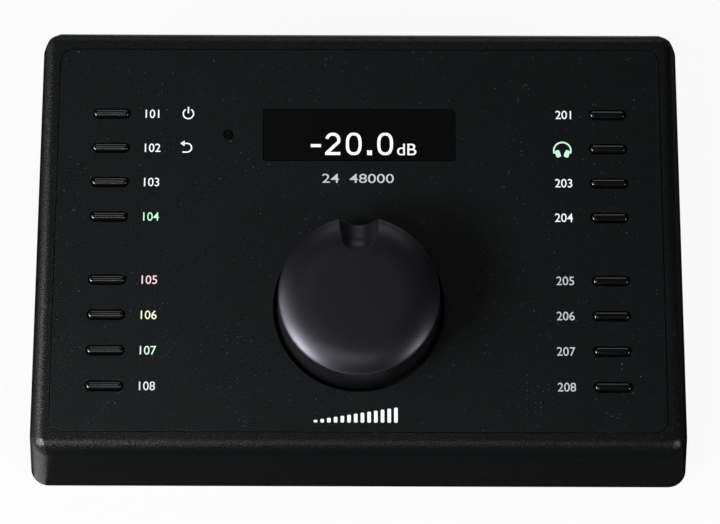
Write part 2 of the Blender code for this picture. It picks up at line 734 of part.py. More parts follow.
encoder_shaft = cylinder("encoder_shaft", SHAFT_RADIUS, shaft_bottom, SHAFT_RISE)
flat_bottom = bushing_top + OVERRUN
flat_width = 2 * SHAFT_RADIUS
cut(encoder_shaft, box(
    "shaft_flat", (2 * flat_width, flat_width, SHAFT_RISE - flat_bottom + OVERRUN),
    (0, SHAFT_RADIUS - SHAFT_FLAT_DEPTH + flat_width / 2, (SHAFT_RISE + OVERRUN + flat_bottom) / 2)))
finish(encoder_shaft, "9c9ea2", 0.3, 1.0, knob_frame)


# Knob: a turned shell whose top falls off towards the rim, a hub round the shaft and a
# finger dimple.
bush_bottom = bushing_top + KNOB_TRAVEL + 2 * SEAT_GAP
bush_top = SHAFT_RISE
bush_radius = shaft_bore_radius + BUSH_WALL
hub_bore_radius = bush_radius + SEAT_GAP
hub_bore_top = bush_top + SEAT_GAP
skirt_bottom = -KNOB_SKIRT
knob_profile = [(0, KNOB_RISE)]
for step in range(6):
    share = step / 5
    knob_profile.append((KNOB_TOP_RADIUS - CROWN_REACH * (1 - share), KNOB_RISE - CROWN_DROP * share ** CROWN_POWER))
roof = KNOB_RISE - DIMPLE_DEPTH - KNOB_WALL
knob_profile += [
    (KNOB_RADIUS, skirt_bottom),
    (KNOB_RADIUS - KNOB_WALL, skirt_bottom),
    (KNOB_TOP_RADIUS - 2 * KNOB_WALL, roof - KNOB_WALL),
    (KNOB_TOP_RADIUS - 3 * KNOB_WALL, roof),
    (KNOB_HUB_RADIUS, roof),
    (KNOB_HUB_RADIUS, bush_bottom),
    (hub_bore_radius, bush_bottom),
    (hub_bore_radius, hub_bore_top),
    (0, hub_bore_top),
]
knob = turned("knob", knob_profile, KNOB_STEPS)


def build_dimple(work):
    """A ball-ended cutter: the ball's half beyond its equator is drawn out to the rim."""
    bmesh.ops.create_uvsphere(work, u_segments=KNOB_STEPS // 3, v_segments=10, radius=DIMPLE_RADIUS)
    for point in work.verts:
        if point.co.z > -MERGE_DISTANCE:
            point.co.z += KNOB_RADIUS
    ball_y = KNOB_TOP_RADIUS - DIMPLE_REACH + DIMPLE_RADIUS
    lean = Matrix.Rotation(-math.pi / 2 - DIMPLE_SLOPE, 4, "X")
    ball_z = KNOB_RISE + DIMPLE_RADIUS - DIMPLE_DEPTH
    bmesh.ops.transform(work, matrix=Matrix.Translation((0, ball_y, ball_z)) @ lean, verts=work.verts)


cut(knob, mesh_object("dimple", build_dimple))
finish(smooth(knob), "232228", 0.55, 0.0, knob_frame)

knob_bush = turned(
    "knob_bush",
    [
        (bush_radius, bush_top),
        (bush_radius, bush_bottom),
        (shaft_bore_radius, bush_bottom),
        (shaft_bore_radius, bush_top),
    ], ROUND_STEPS, closed=True)
finish(smooth(knob_bush), "a98b4c", 0.35, 1.0, knob_frame)


# Keys: a slim cap with a rounded crest, a flange under the plate and a stem.
key = plate(
    "key_body",
    [rounded_rectangle(KEY_LENGTH, KEY_WIDTH, KEY_WIDTH / 2, steps=KEY_END_STEPS)],
    flange_top - KEY_FLANGE_THICKNESS / 2, KEY_RISE)
crest = key.data.attributes.new("bevel_weight_edge", "FLOAT", "EDGE")
for edge in key.data.edges:
    if all(key.data.vertices[i].co.z > 0 for i in edge.vertices):
        crest.data[edge.index].value = 1
crest_rounding = key.modifiers.new("crest", "BEVEL")
crest_rounding.limit_method = "WEIGHT"
crest_rounding.width = KEY_CREST_share * KEY_WIDTH / 2
crest_rounding.segments = KEY_CREST_SEGMENTS
crest_rounding.use_clamp_overlap = False
fuse(key, box(
    "key_flange",
    (slot_length + 2 * KEY_FLANGE_LIP, slot_width + 2 * KEY_FLANGE_LIP, KEY_FLANGE_THICKNESS),
    (0, 0, flange_top - KEY_FLANGE_THICKNESS / 2)))
fuse(key, box(
    "key_stem",
    (KEY_STEM_LENGTH, KEY_STEM_WIDTH, KEY_STEM_DEPTH + KEY_FLANGE_THICKNESS / 2),
    (0, 0, (stem_bottom + key_flange_bottom + KEY_FLANGE_THICKNESS / 2) / 2)))
key_mesh = evaluated_mesh(key)
for tool in [step.object for step in key.modifiers if step.type == "BOOLEAN"]:
    bpy.data.objects.remove(tool, do_unlink=True)
bpy.data.objects.remove(key, do_unlink=True)
for number, place in enumerate(key_places, 1):
    piece = bpy.data.objects.new(f"key_{number:02d}", key_mesh.copy())
    finish(piece, "1b1b1e", 0.35, 0.0, panel_frame, (*place, 0))


# Control board: sixteen switch sockets that take the key stems, spacers up to the
# plate and a hole for the encoder's bushing. Its rear edge ends in front of the
# connectors' bodies.
board_top_edge = OVERLAY_LENGTH / 2 - connector_run
board_front_edge = BOARD_CLEARANCE - opening_length / 2
board_width = opening_width - 2 * BOARD_CLEARANCE
board_length = board_top_edge - board_front_edge
board_centre = (0, (board_top_edge + board_front_edge) / 2)
control_board = plate(
    "control_board",
    [
        rounded_rectangle(board_width, board_length, BOARD_CORNER_RADIUS, board_centre),
        circle(bushing_hole_radius, (0, knob_y)),
    ],
    board_bottom, board_top)
socket_length = KEY_STEM_LENGTH + 2 * (SEAT_GAP + KEY_SOCKET_WALL)
socket_width = KEY_STEM_WIDTH + 2 * (SEAT_GAP + KEY_SOCKET_WALL)


def boxes(name, size, height_centre):
    """One box at each key's place."""
    def build(work):
        for place in key_places:
            matrix = Matrix.Translation((*place, height_centre)) @ Matrix.Diagonal((*size, 1))
            bmesh.ops.create_cube(work, size=1, matrix=matrix)
    return mesh_object(name, build)


socket_bottom = board_top - BOARD_THICKNESS / 2
fuse(control_board, boxes(
    "switch_sockets", (socket_length, socket_width, socket_top - socket_bottom),
    (socket_top + socket_bottom) / 2))
cut(control_board, boxes(
    "switch_pockets",
    (KEY_STEM_LENGTH + 2 * SEAT_GAP, KEY_STEM_WIDTH + 2 * SEAT_GAP, socket_top - pocket_floor + OVERRUN),
    (socket_top + OVERRUN + pocket_floor) / 2))
spacer_places = [
    (side * SPACER_X_share * board_width / 2, edge)
    for edge in (board_front_edge + SPACER_INSET, board_top_edge - SPACER_INSET)
    for side in (-1, 1)
]
for number, place in enumerate(spacer_places, 1):
    fuse(control_board, cylinder(
        f"spacer_{number}", SPACER_RADIUS, socket_bottom, flange_top, place, PIN_STEPS))
finish(control_board, "1d3a2a", 0.5, 0.0, panel_frame)


# Main board, its shield can and the flat ribbon up to the control board.
main_board = box(
    "main_board", (main_board_width, MAIN_BOARD_LENGTH, BOARD_THICKNESS),
    (0, board_y, (main_board_bottom + main_board_top) / 2))
finish(main_board, "1d3a2a", 0.5, 0.0, case_frame)

shield_x = SHIELD_X_share * main_board_width / 2
shield_y = board_rear - SHIELD_REAR_DISTANCE
processor_shield = box(
    "processor_shield", (SHIELD_WIDTH, SHIELD_LENGTH, SHIELD_HEIGHT),
    (shield_x, shield_y, main_board_top + SEAT_GAP + SHIELD_HEIGHT / 2))
finish(processor_shield, "a7a9ac", 0.35, 1.0, case_frame)

ribbon_top = to_case @ Vector((0, OVERLAY_LENGTH / 2 - RIBBON_TOP_MARGIN, board_bottom - SEAT_GAP))
down = (to_case.to_3x3() @ Vector((0, 0, -1))).yz
ribbon_foot = Vector((ribbon_top.y - RIBBON_SHIFT, main_board_top + SEAT_GAP))
bezier = [
    ribbon_top.yz + down * RIBBON_RUN,
    ribbon_top.yz + down * 4 * RIBBON_RUN,
    ribbon_foot + Vector((0, 4 * RIBBON_RUN)),
    ribbon_foot + Vector((0, RIBBON_RUN)),
]
middle_line = [ribbon_top.yz]
for step in range(9):
    t = step / 8
    weights_t = ((1 - t) ** 3, 3 * t * (1 - t) ** 2, 3 * t * t * (1 - t), t ** 3)
    middle_line.append(sum((w * p for w, p in zip(weights_t, bezier)), Vector((0, 0))))
middle_line.append(ribbon_foot)
left_side = []
right_side = []
for i, point in enumerate(middle_line):
    before = middle_line[max(i - 1, 0)]
    after = middle_line[min(i + 1, len(middle_line) - 1)]
    along = (after - before).normalized()
    across = Vector((-along.y, along.x)) * RIBBON_THICKNESS / 2
    left_side.append(point + across)
    right_side.append(point - across)
ribbon_cable = plate("ribbon_cable", [left_side + right_side[::-1]], -RIBBON_WIDTH / 2, RIBBON_WIDTH / 2)
ribbon_cable.data.transform(Matrix(((0, 0, 1, 0), (1, 0, 0, 0), (0, 1, 0, 0), (0, 0, 0, 1))))
finish(ribbon_cable, "b9b9bd", 0.5, 0.0, case_frame)


# Rear panel and its connectors. A connector's own z axis points to the rear and its
# y axis up, with the panel's outer face at z = 0.
rear_half_width = rear_window_width / 2
xlr_places = [(share * rear_half_width, connector_z) for share in XLR_X_shares]
headphone_place = (HEADPHONE_X_share * rear_half_width, main_board_top + SEAT_GAP + HEADPHONE_WIDTH / 2)
clock_place = (CLOCK_X_share * rear_half_width, connector_z)
network_place = (NETWORK_X_share * rear_half_width, main_board_top + SEAT_GAP + NETWORK_HEIGHT / 2)
usb_place = (USB_X_share * rear_half_width, main_board_top + SEAT_GAP + USB_HEIGHT / 2)
power_place = (USB_X_share * rear_half_width, POWER_HEIGHT)

gap = 2 * CONNECTOR_CLEARANCE
panel_outlines = [rounded_rectangle(
    rear_window_width - 2 * SEAT_GAP, rear_window_height - 2 * SEAT_GAP,
    REAR_WINDOW_RADIUS - SEAT_GAP, rear_window_centre)]
for place in xlr_places:
    panel_outlines.append(rounded_rectangle(
        xlr_body_width + gap, xlr_body_height + gap, CONNECTOR_CLEARANCE, place, 1))
panel_outlines.append(circle(HEADPHONE_FERRULE_RADIUS + CONNECTOR_CLEARANCE, headphone_place))
panel_outlines.append(circle(CLOCK_THREAD_RADIUS + CONNECTOR_CLEARANCE, clock_place))
panel_outlines.append(rounded_rectangle(
    NETWORK_WIDTH + gap, NETWORK_HEIGHT + gap, CONNECTOR_CLEARANCE, network_place, 1))
panel_outlines.append(rounded_rectangle(
    USB_WIDTH + gap, USB_HEIGHT + gap, CONNECTOR_CLEARANCE, usb_place, 1))
panel_outlines.append(circle(POWER_RING_RADIUS + CONNECTOR_CLEARANCE, power_place))
panel_outlines = [[(-point[0], point[1]) for point in outline] for outline in panel_outlines]
rear_panel = plate("rear_panel", panel_outlines, -REAR_PANEL_THICKNESS, 0)
rear_frame = frame_empty("rear_frame", (0, rear_face, 0), 0.0, case_frame)
rear_frame.rotation_euler = (math.pi / 2, 0, math.pi)
finish(rear_panel, "1c1d1f", 0.5, 0.0, rear_frame)


def rear_place(x, z):
    """A place on the rear panel in the rear frame, whose x axis runs to the left."""
    return (-x, z, 0)


panel_inner = -REAR_PANEL_THICKNESS


def round_connector(name, female):
    """A three-pole connector: square flange, block body, round bore."""
    obj = plate(
        name,
        [rounded_rectangle(XLR_FLANGE_WIDTH, XLR_FLANGE_HEIGHT, XLR_FLANGE_RADIUS)],
        SEAT_GAP, SEAT_GAP + XLR_FLANGE_THICKNESS)
    fuse(obj, box(
        name + "_block", (xlr_body_width, xlr_body_height, XLR_BODY_DEPTH + XLR_FLANGE_THICKNESS / 2),
        (0, 0, (XLR_FLANGE_THICKNESS / 2 - XLR_BODY_DEPTH) / 2 + SEAT_GAP)))
    face = SEAT_GAP + XLR_FLANGE_THICKNESS
    floor = face - XLR_BORE_DEPTH
    contacts = []
    for number in range(3):
        angle = math.pi / 2 + math.tau * (number - 1) / 3 + math.pi
        contacts.append((XLR_CONTACT_CIRCLE * math.cos(angle), XLR_CONTACT_CIRCLE * math.sin(angle)))
    if female:
        groove = turned(
            name + "_groove",
            [
                (XLR_BORE_RADIUS, face + OVERRUN),
                (XLR_BORE_RADIUS, floor),
                (XLR_CORE_RADIUS, floor),
                (XLR_CORE_RADIUS, face + OVERRUN),
            ], ROUND_STEPS, closed=True)
        cut(obj, groove)
        for number, place in enumerate(contacts, 1):
            cut(obj, cylinder(
                f"{name}_contact_{number}", XLR_CONTACT_RADIUS, floor, face + OVERRUN, place, PIN_STEPS))
        cut(obj, box(
            name + "_latch_slot",
            (LATCH_WIDTH + gap, LATCH_HEIGHT + gap, LATCH_DEPTH + LATCH_TRAVEL + SEAT_GAP + face + OVERRUN),
            (0, LATCH_CENTRE, (face + OVERRUN - LATCH_DEPTH - LATCH_TRAVEL - SEAT_GAP) / 2)))
    else:
        cut(obj, cylinder(name + "_bore", XLR_BORE_RADIUS, floor, face + OVERRUN))
        for number, place in enumerate(contacts, 1):
            fuse(obj, cylinder(
                f"{name}_pin_{number}", XLR_CONTACT_RADIUS, floor - XLR_FLANGE_THICKNESS,
                floor + XLR_PIN_LENGTH, place, PIN_STEPS))
    return obj


connector_names = ("line_in_left", "line_in_right", "digital_in", "digital_out")
for name, place in zip(connector_names, xlr_places):
    connector = round_connector(name, name != "digital_out")
    finish(connector, "2a2b2e", 0.35, 0.6, rear_frame, rear_place(*place))

latch_face = SEAT_GAP + XLR_FLANGE_THICKNESS + LATCH_RISE
for name, place in zip(("latch_left", "latch_right", "latch_digital"), xlr_places):
    latch = box(
        name, (LATCH_WIDTH, LATCH_HEIGHT, latch_face + LATCH_DEPTH),
        (0, LATCH_CENTRE, (latch_face - LATCH_DEPTH) / 2))
    finish(latch, "b4b6ba", 0.3, 1.0, rear_frame, rear_place(*place))

headphone_socket = box(
    "headphone_socket", (HEADPHONE_WIDTH, HEADPHONE_WIDTH, HEADPHONE_DEPTH),
    (0, 0, panel_inner - SEAT_GAP - HEADPHONE_DEPTH / 2))
ferrule_top = HEADPHONE_FERRULE_RISE
fuse(headphone_socket, cylinder(
    "ferrule", HEADPHONE_FERRULE_RADIUS, panel_inner - HEADPHONE_WIDTH / 2, ferrule_top))
cut(headphone_socket, cylinder(
    "headphone_bore", HEADPHONE_BORE_RADIUS, ferrule_top - HEADPHONE_BORE_DEPTH, ferrule_top + OVERRUN))
finish(headphone_socket, "1e1f21", 0.4, 0.0, rear_frame, rear_place(*headphone_place))

headphone_nut = plate(
    "headphone_nut",
    [hexagon(HEADPHONE_NUT_FLATS), circle(HEADPHONE_FERRULE_RADIUS + CONNECTOR_CLEARANCE)],
    SEAT_GAP, SEAT_GAP + SOCKET_NUT_THICKNESS)
finish(headphone_nut, "9a9ca0", 0.3, 1.0, rear_frame, rear_place(*headphone_place))

barrel_top = CLOCK_BARREL_RISE + SEAT_GAP
barrel_floor = barrel_top - CLOCK_BORE_DEPTH
thread_top = 2 * SEAT_GAP + SOCKET_NUT_THICKNESS
word_clock_socket = turned(
    "word_clock_socket",
    [
        (CLOCK_BARREL_RADIUS, barrel_top),
        (CLOCK_BARREL_RADIUS, thread_top),
        (CLOCK_THREAD_RADIUS, thread_top),
        (CLOCK_THREAD_RADIUS, -CLOCK_BODY_DEPTH),
        (0, -CLOCK_BODY_DEPTH),
        (0, barrel_floor),
        (CLOCK_BORE_RADIUS, barrel_floor),
        (CLOCK_BORE_RADIUS, barrel_top),
    ], ROUND_STEPS, closed=True)
fuse(word_clock_socket, cylinder(
    "clock_pin", CLOCK_PIN_RADIUS, barrel_floor - OVERRUN, barrel_top - CLOCK_LUG_SETBACK, steps=PIN_STEPS))
for side in (-1, 1):
    lug = cylinder(
        f"clock_lug_{side}", CLOCK_LUG_RADIUS, CLOCK_BORE_RADIUS + CLOCK_LUG_RISE / 2,
        CLOCK_BARREL_RADIUS + CLOCK_LUG_RISE, steps=PIN_STEPS)
    lug_place = Matrix.Translation((0, 0, barrel_top - CLOCK_LUG_SETBACK))
    lug.data.transform(lug_place @ Matrix.Rotation(side * math.pi / 2, 4, "Y"))
    fuse(word_clock_socket, lug)
finish(smooth(word_clock_socket), "b0b2b6", 0.3, 1.0, rear_frame, rear_place(*clock_place))

word_clock_nut = plate(
    "word_clock_nut",
    [hexagon(CLOCK_NUT_FLATS), circle(CLOCK_THREAD_RADIUS + CONNECTOR_CLEARANCE)],
    SEAT_GAP, SEAT_GAP + SOCKET_NUT_THICKNESS)
finish(word_clock_nut, "9a9ca0", 0.3, 1.0, rear_frame, rear_place(*clock_place))

network_socket = box(
    "network_socket", (NETWORK_WIDTH, NETWORK_HEIGHT, NETWORK_DEPTH + BOX_SOCKET_RISE),
    (0, 0, (BOX_SOCKET_RISE - NETWORK_DEPTH) / 2))
cut(network_socket, box(
    "network_mouth", (NETWORK_MOUTH_WIDTH, NETWORK_MOUTH_HEIGHT, NETWORK_MOUTH_DEPTH + OVERRUN),
    (0, 0, BOX_SOCKET_RISE + (OVERRUN - NETWORK_MOUTH_DEPTH) / 2)))
keyway_height = NETWORK_KEYWAY_DEPTH + NETWORK_MOUTH_HEIGHT / 2
cut(network_socket, box(
    "network_keyway", (NETWORK_KEYWAY_WIDTH, keyway_height, NETWORK_MOUTH_DEPTH / 2 + OVERRUN),
    (0, keyway_height / 2, BOX_SOCKET_RISE + (OVERRUN - NETWORK_MOUTH_DEPTH / 2) / 2)))
finish(network_socket, "a9abaf", 0.35, 1.0, rear_frame, rear_place(*network_place))

usb_socket = box(
    "usb_socket", (USB_WIDTH, USB_HEIGHT, USB_DEPTH + BOX_SOCKET_RISE),
    (0, 0, (BOX_SOCKET_RISE - USB_DEPTH) / 2))
half_mouth = USB_MOUTH_WIDTH / 2
half_height = USB_MOUTH_HEIGHT / 2
mouth_outline = [
    (half_mouth, -half_height),
    (half_mouth, half_height - USB_MOUTH_CHAMFER),
    (half_mouth - USB_MOUTH_CHAMFER, half_height),
    (USB_MOUTH_CHAMFER - half_mouth, half_height),
    (-half_mouth, half_height - USB_MOUTH_CHAMFER),
    (-half_mouth, -half_height),
]
tongue_outline = rounded_rectangle(USB_TONGUE_WIDTH, USB_TONGUE_HEIGHT, CONNECTOR_CLEARANCE, steps=1)
cut(usb_socket, plate(
    "usb_mouth", [mouth_outline, tongue_outline],
    BOX_SOCKET_RISE - USB_MOUTH_DEPTH, BOX_SOCKET_RISE + OVERRUN))
finish(usb_socket, "a9abaf", 0.35, 1.0, rear_frame, rear_place(*usb_place))

power_inlet = box(
    "power_inlet", (POWER_BODY_WIDTH, POWER_BODY_WIDTH, POWER_BODY_DEPTH),
    (0, 0, panel_inner - SEAT_GAP - POWER_BODY_DEPTH / 2))
fuse(power_inlet, cylinder(
    "power_ring", POWER_RING_RADIUS, panel_inner - POWER_BODY_WIDTH / 2, POWER_RING_RISE))
power_floor = POWER_RING_RISE - POWER_BORE_DEPTH
cut(power_inlet, cylinder("power_bore", POWER_BORE_RADIUS, power_floor, POWER_RING_RISE + OVERRUN))
fuse(power_inlet, cylinder(
    "power_pin", POWER_PIN_RADIUS, power_floor - OVERRUN, POWER_RING_RISE - OVERRUN, steps=PIN_STEPS))
finish(power_inlet, "1a1a1c", 0.4, 0.0, rear_frame, rear_place(*power_place))
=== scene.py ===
"""Desktop studio monitor controller: a wedge case with a tilted control panel, a
large knob, a display window and two columns of slim keys, dressed over its frame."""

import math

import bmesh
import bpy
from mathutils import Matrix, Vector


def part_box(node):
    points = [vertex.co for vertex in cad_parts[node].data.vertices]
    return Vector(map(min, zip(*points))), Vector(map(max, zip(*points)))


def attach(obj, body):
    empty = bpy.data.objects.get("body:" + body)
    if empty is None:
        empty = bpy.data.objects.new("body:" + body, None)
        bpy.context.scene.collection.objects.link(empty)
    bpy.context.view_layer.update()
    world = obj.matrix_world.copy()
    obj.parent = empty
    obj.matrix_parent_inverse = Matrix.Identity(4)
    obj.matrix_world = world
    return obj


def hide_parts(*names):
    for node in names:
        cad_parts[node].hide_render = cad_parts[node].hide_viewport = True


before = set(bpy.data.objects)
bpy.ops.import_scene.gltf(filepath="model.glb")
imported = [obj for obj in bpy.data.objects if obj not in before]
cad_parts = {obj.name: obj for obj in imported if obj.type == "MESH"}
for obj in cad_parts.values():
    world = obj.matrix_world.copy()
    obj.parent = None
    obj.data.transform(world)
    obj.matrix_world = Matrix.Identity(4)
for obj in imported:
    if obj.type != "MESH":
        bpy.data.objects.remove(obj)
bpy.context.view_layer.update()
scene = bpy.context.scene
scene.view_settings.view_transform = "Standard"


# The control panel's own frame, as in the CAD: its origin is the middle of the panel
# plate's face, x runs to the right, y up the slope and z along the panel's normal.
PANEL_TILT = math.radians(13.0)
PANEL_LENGTH = 0.1208
PANEL_WIDTH = 0.1870
PANEL_CENTRE = Vector((0, -0.0043055, 0.0404143))
panel_matrix = Matrix.Translation(PANEL_CENTRE) @ Matrix.Rotation(PANEL_TILT, 4, "X")


# Camera: a long lens high above the front, looking down 64 degrees.
SIGHT_POINT = panel_matrix @ Vector((0.0003, -0.0078, 0))
SIGHT_DISTANCE = 0.706
SIGHT_ELEVATION = math.radians(64.0)
FRAME_WIDTH_PX = 720
FOCAL_PX = 2300
ROLL = math.radians(0.17)
def add_object(name, data, matrix=Matrix.Identity(4)):
    """Put a mesh, curve, camera or lamp into the scene."""
    obj = bpy.data.objects.new(name, data)
    scene.collection.objects.link(obj)
    obj.matrix_world = matrix
    return obj


camera_data = bpy.data.cameras.new("camera")
camera_data.sensor_width = 36.0
camera_data.lens = FOCAL_PX / FRAME_WIDTH_PX * camera_data.sensor_width
camera_data.clip_start = 0.01
camera_data.clip_end = 20
back = Vector((0, -math.cos(SIGHT_ELEVATION), math.sin(SIGHT_ELEVATION)))
scene.camera = add_object(
    "camera", camera_data,
    Matrix.Translation(SIGHT_POINT + back * SIGHT_DISTANCE)
    @ Matrix.Rotation(math.pi / 2 - SIGHT_ELEVATION, 4, "X")
    @ Matrix.Rotation(ROLL, 4, "Z"))


# Studio: a white sweep on the floor, a wide softbox with a reflector at the left, a weak
# softbox at the right, thin strips over the front and the top, and a reflector behind. The
# room is dim, so that the black top stays black.
def linear(code):
    """An sRGB hex colour as linear RGBA."""
    channels = [int(code[i:i + 2], 16) / 255 for i in (1, 3, 5)]
    return (*[v / 12.92 if v <= 0.04045 else ((v + 0.055) / 1.055) ** 2.4 for v in channels], 1.0)


def add_node(tree, kind, settings=None, links=None):
    """Add a node, set its properties or inputs by name, and link (node, output) pairs to its inputs."""
    node = tree.nodes.new(kind)
    for name, value in (settings or {}).items():
        if isinstance(name, str) and hasattr(node, name):
            setattr(node, name, value)
        else:
            node.inputs[name].default_value = value
    for name, (source, output) in (links or {}).items():
        tree.links.new(source.outputs[output], node.inputs[name])
    return node


def new_material(name, settings):
    """A material with a Principled shader, and its inputs set by name."""
    material = bpy.data.materials.new(name)
    material.use_nodes = True
    shader = material.node_tree.nodes["Principled BSDF"]
    for key, value in settings.items():
        shader.inputs[key].default_value = value
    return material, material.node_tree, shader


FLOOR_RADIUS = 6
FLOOR_Z = -0.0001  # just below the feet, which stand at zero
floor_mesh = bpy.data.meshes.new("studio_floor")
work = bmesh.new()
bmesh.ops.create_circle(work, cap_ends=True, segments=64, radius=FLOOR_RADIUS)
work.to_mesh(floor_mesh)
work.free()
studio_floor = add_object("studio_floor", floor_mesh, Matrix.Translation((0, 0, FLOOR_Z)))
PAPER_LIFT = 0.97
floor_paper, tree, shader = new_material("white_paper_sweep", {"Roughness": 0.9, "Specular IOR Level": 0.0})
grain = add_node(tree, "ShaderNodeTexNoise", {"Scale": 40.0, "Detail": 2.0})
tone = add_node(
    tree, "ShaderNodeMix", {"data_type": "RGBA", 6: linear("#F4F4F4"), 7: linear("#FAFAFA")},
    {0: (grain, "Fac")})
tree.links.new(tone.outputs[2], shader.inputs["Base Color"])
path = add_node(tree, "ShaderNodeLightPath")
seen = add_node(
    tree, "ShaderNodeMath", {"operation": "MAXIMUM"},
    {0: (path, "Is Camera Ray"), 1: (path, "Is Glossy Ray")})
seen = add_node(
    tree, "ShaderNodeMath", {"operation": "MAXIMUM"}, {0: (seen, 0), 1: (path, "Is Transmission Ray")})
lift = add_node(tree, "ShaderNodeMath", {"operation": "MULTIPLY", 1: PAPER_LIFT}, {0: (seen, 0)})
glow = add_node(tree, "ShaderNodeEmission", {"Color": linear("#FCFBFC"), "Strength": 1.0})
paper = add_node(tree, "ShaderNodeMixShader", None, {0: (lift, 0), 1: (shader, 0), 2: (glow, 0)})
tree.links.new(paper.outputs[0], tree.nodes["Material Output"].inputs["Surface"])
floor_mesh.materials.append(floor_paper)

# Cards lie on the sweep, close round the front and both sides of the case: a grey one in front and black ones
# at the sides.
# They are painted shade: the floor round the case shows dark in the case's reflections and bounce light, not
# to the camera.
# They leave a wedge open at the front left corner, so that a white band stands there in the paint. The camera
# looks past them, and they cast no shadow.
CARD_Z = 0.0003
CARD_SIDE = 0.50
CARD_REAR = 0.40
CARD_FRONT = -1.20
CARD_EDGE = -0.0660
front_card = [
    (-0.0965, CARD_EDGE), (-0.09735, -0.07065), (-CARD_SIDE, -0.8960), (-CARD_SIDE, CARD_FRONT),
    (CARD_SIDE, CARD_FRONT), (CARD_SIDE, CARD_EDGE)]
right_card = [(0.1000, CARD_EDGE), (CARD_SIDE, CARD_EDGE), (CARD_SIDE, CARD_REAR), (0.1000, CARD_REAR)]
left_card = [
    (-0.0980, CARD_REAR), (-CARD_SIDE, CARD_REAR), (-CARD_SIDE, 0.0614), (-0.10085, -0.0683),
    (-0.0980, -0.0640)]
outlines = (front_card, right_card, left_card)
corners = [(x, y, CARD_Z) for outline in outlines for x, y in outline]
numbers = iter(range(len(corners)))
card_mesh = bpy.data.meshes.new("shade_cards")
card_mesh.from_pydata(corners, [], [[next(numbers) for corner in outline] for outline in outlines])
shade_cards = add_object("shade_cards", card_mesh)
shade_cards.visible_camera = False
shade_cards.visible_shadow = False
# Painted shade: grey and black felt that only the case's reflections and bounce light see.
for name, dark, light in (("grey_shade_card", "#363636", "#3B3B3B"), ("black_shade_card", "#080808", "#0C0C0C")):
    card, tree, shader = new_material(name, {"Roughness": 1.0, "Specular IOR Level": 0.0})
    felt = add_node(tree, "ShaderNodeTexNoise", {"Scale": 300.0, "Detail": 2.0})
    tone = add_node(
        tree, "ShaderNodeMix", {"data_type": "RGBA", 6: linear(dark), 7: linear(light)}, {0: (felt, "Fac")})
    tree.links.new(tone.outputs[2], shader.inputs["Base Color"])
    card_mesh.materials.append(card)
for side_card in card_mesh.polygons[1:]:
    side_card.material_index = 1

# The room: white walls up to the height of the sweep, dimmer on the right and in front,
# and a dark ceiling, which the flat panel and the window mirror.
world = bpy.data.worlds.new("studio_room")
scene.world = world
world.use_nodes = True
tree = world.node_tree
tree.nodes.clear()
path = add_node(tree, "ShaderNodeLightPath")
place = add_node(tree, "ShaderNodeTexCoord")
height = add_node(tree, "ShaderNodeSeparateXYZ", None, {0: (place, "Generated")})
FADES = (  # along an axis of the room: from, to, and the light at either end
    ("Z", 0.10, 0.45, 0.32, 0.03), ("X", 0.1, 0.7, 1.0, 0.08), ("Y", -0.95, -0.35, 0.12, 1.0))
walls = None
for axis, start, stop, first, last in FADES:
    fade = add_node(
        tree, "ShaderNodeMapRange", {"From Min": start, "From Max": stop, "To Min": first, "To Max": last},
        {"Value": (height, axis)})
    walls = add_node(
        tree, "ShaderNodeMath", {"operation": "MULTIPLY"}, {0: (walls, 0), 1: (fade, 0)}) if walls else fade
room = add_node(tree, "ShaderNodeBackground", {"Color": linear("#F2F4F8")}, {"Strength": (walls, 0)})
white = add_node(tree, "ShaderNodeBackground", {"Color": linear("#FCFBFC"), "Strength": 1.0})
choice = add_node(
    tree, "ShaderNodeMixShader", None, {0: (path, "Is Camera Ray"), 1: (room, 0), 2: (white, 0)})
add_node(tree, "ShaderNodeOutputWorld", None, {"Surface": (choice, 0)})


def softbox(name, azimuth, elevation, distance, size, watts):
    """An area lamp aimed at the panel's middle; azimuth 0 is in front, 90 to the right."""
    data = bpy.data.lights.new(name, "AREA")
    data.shape = "RECTANGLE"
    data.size, data.size_y = size
    data.energy = watts
    azimuth, elevation = math.radians(azimuth), math.radians(elevation)
    level = math.cos(elevation)
    direction = Vector((math.sin(azimuth) * level, -math.cos(azimuth) * level, math.sin(elevation)))
    lamp = add_object(name, data)
    lamp.location = PANEL_CENTRE + direction * distance
    lamp.rotation_euler = direction.to_track_quat("Z", "Y").to_euler()


softbox("softbox_left", -66, 31, 1.1, (0.95, 0.34), 10)
softbox("reflector_left", -50, 30, 0.9, (0.28, 0.24), 9)
softbox("softbox_right", 52, 29, 1.4, (0.20, 0.20), 6)
softbox("strip_front", -16, 56, 1.2, (0.70, 0.05), 1.4)
softbox("strip_top", -72, 81, 1.2, (0.40, 0.04), 0.20)
softbox("reflector_rear", 176, 48, 1.2, (0.90, 0.30), 1.7)


# Case shell: die-cast zinc wedge with soft rounded edges, powder coated in a
# near-black fine texture. The coat's grain sparkles where an edge turns to the light.
CASE_TOP_WIDTH = 0.1986
CASE_BASE_WIDTH = 0.2040
CASE_FRONT_Y = -0.0708747
CASE_FRONT_HEIGHT = 0.0225
CASE_FRONT_DRAFT = math.radians(5.0)
CASE_TOP_LENGTH = 0.1334
CASE_WALL = 0.0025
CASE_TOP_WALL = 0.0040
CASE_EDGE_RADIUS = 0.0043
CASE_FRONT_RADIUS = 0.0050
CASE_REAR_RADIUS = 0.0034
CASE_CORNER_RADIUS = 0.0060
CASE_BASE_Z = 0.0030
CASE_SKIRT = 0.0025  # how far the walls reach below the case's base line
PANEL_RECESS = 0.0018
PANEL_CORNER_RADIUS = 0.0040
PANEL_SEAM = 0.00020
PANEL_LEDGE = 0.0060
REAR_SILL = 0.0045
REAR_WINDOW = (0.1860, 0.0385)
REAR_WINDOW_CENTRE_Z = REAR_SILL + REAR_WINDOW[1] / 2
OVERCUT = 0.001  # how far a cutter reaches past the face that it opens

front_shift = CASE_FRONT_HEIGHT * math.tan(CASE_FRONT_DRAFT)
case_depth = front_shift + CASE_TOP_LENGTH * math.cos(PANEL_TILT)
case_matrix = Matrix.Translation((0, CASE_FRONT_Y, CASE_BASE_Z))


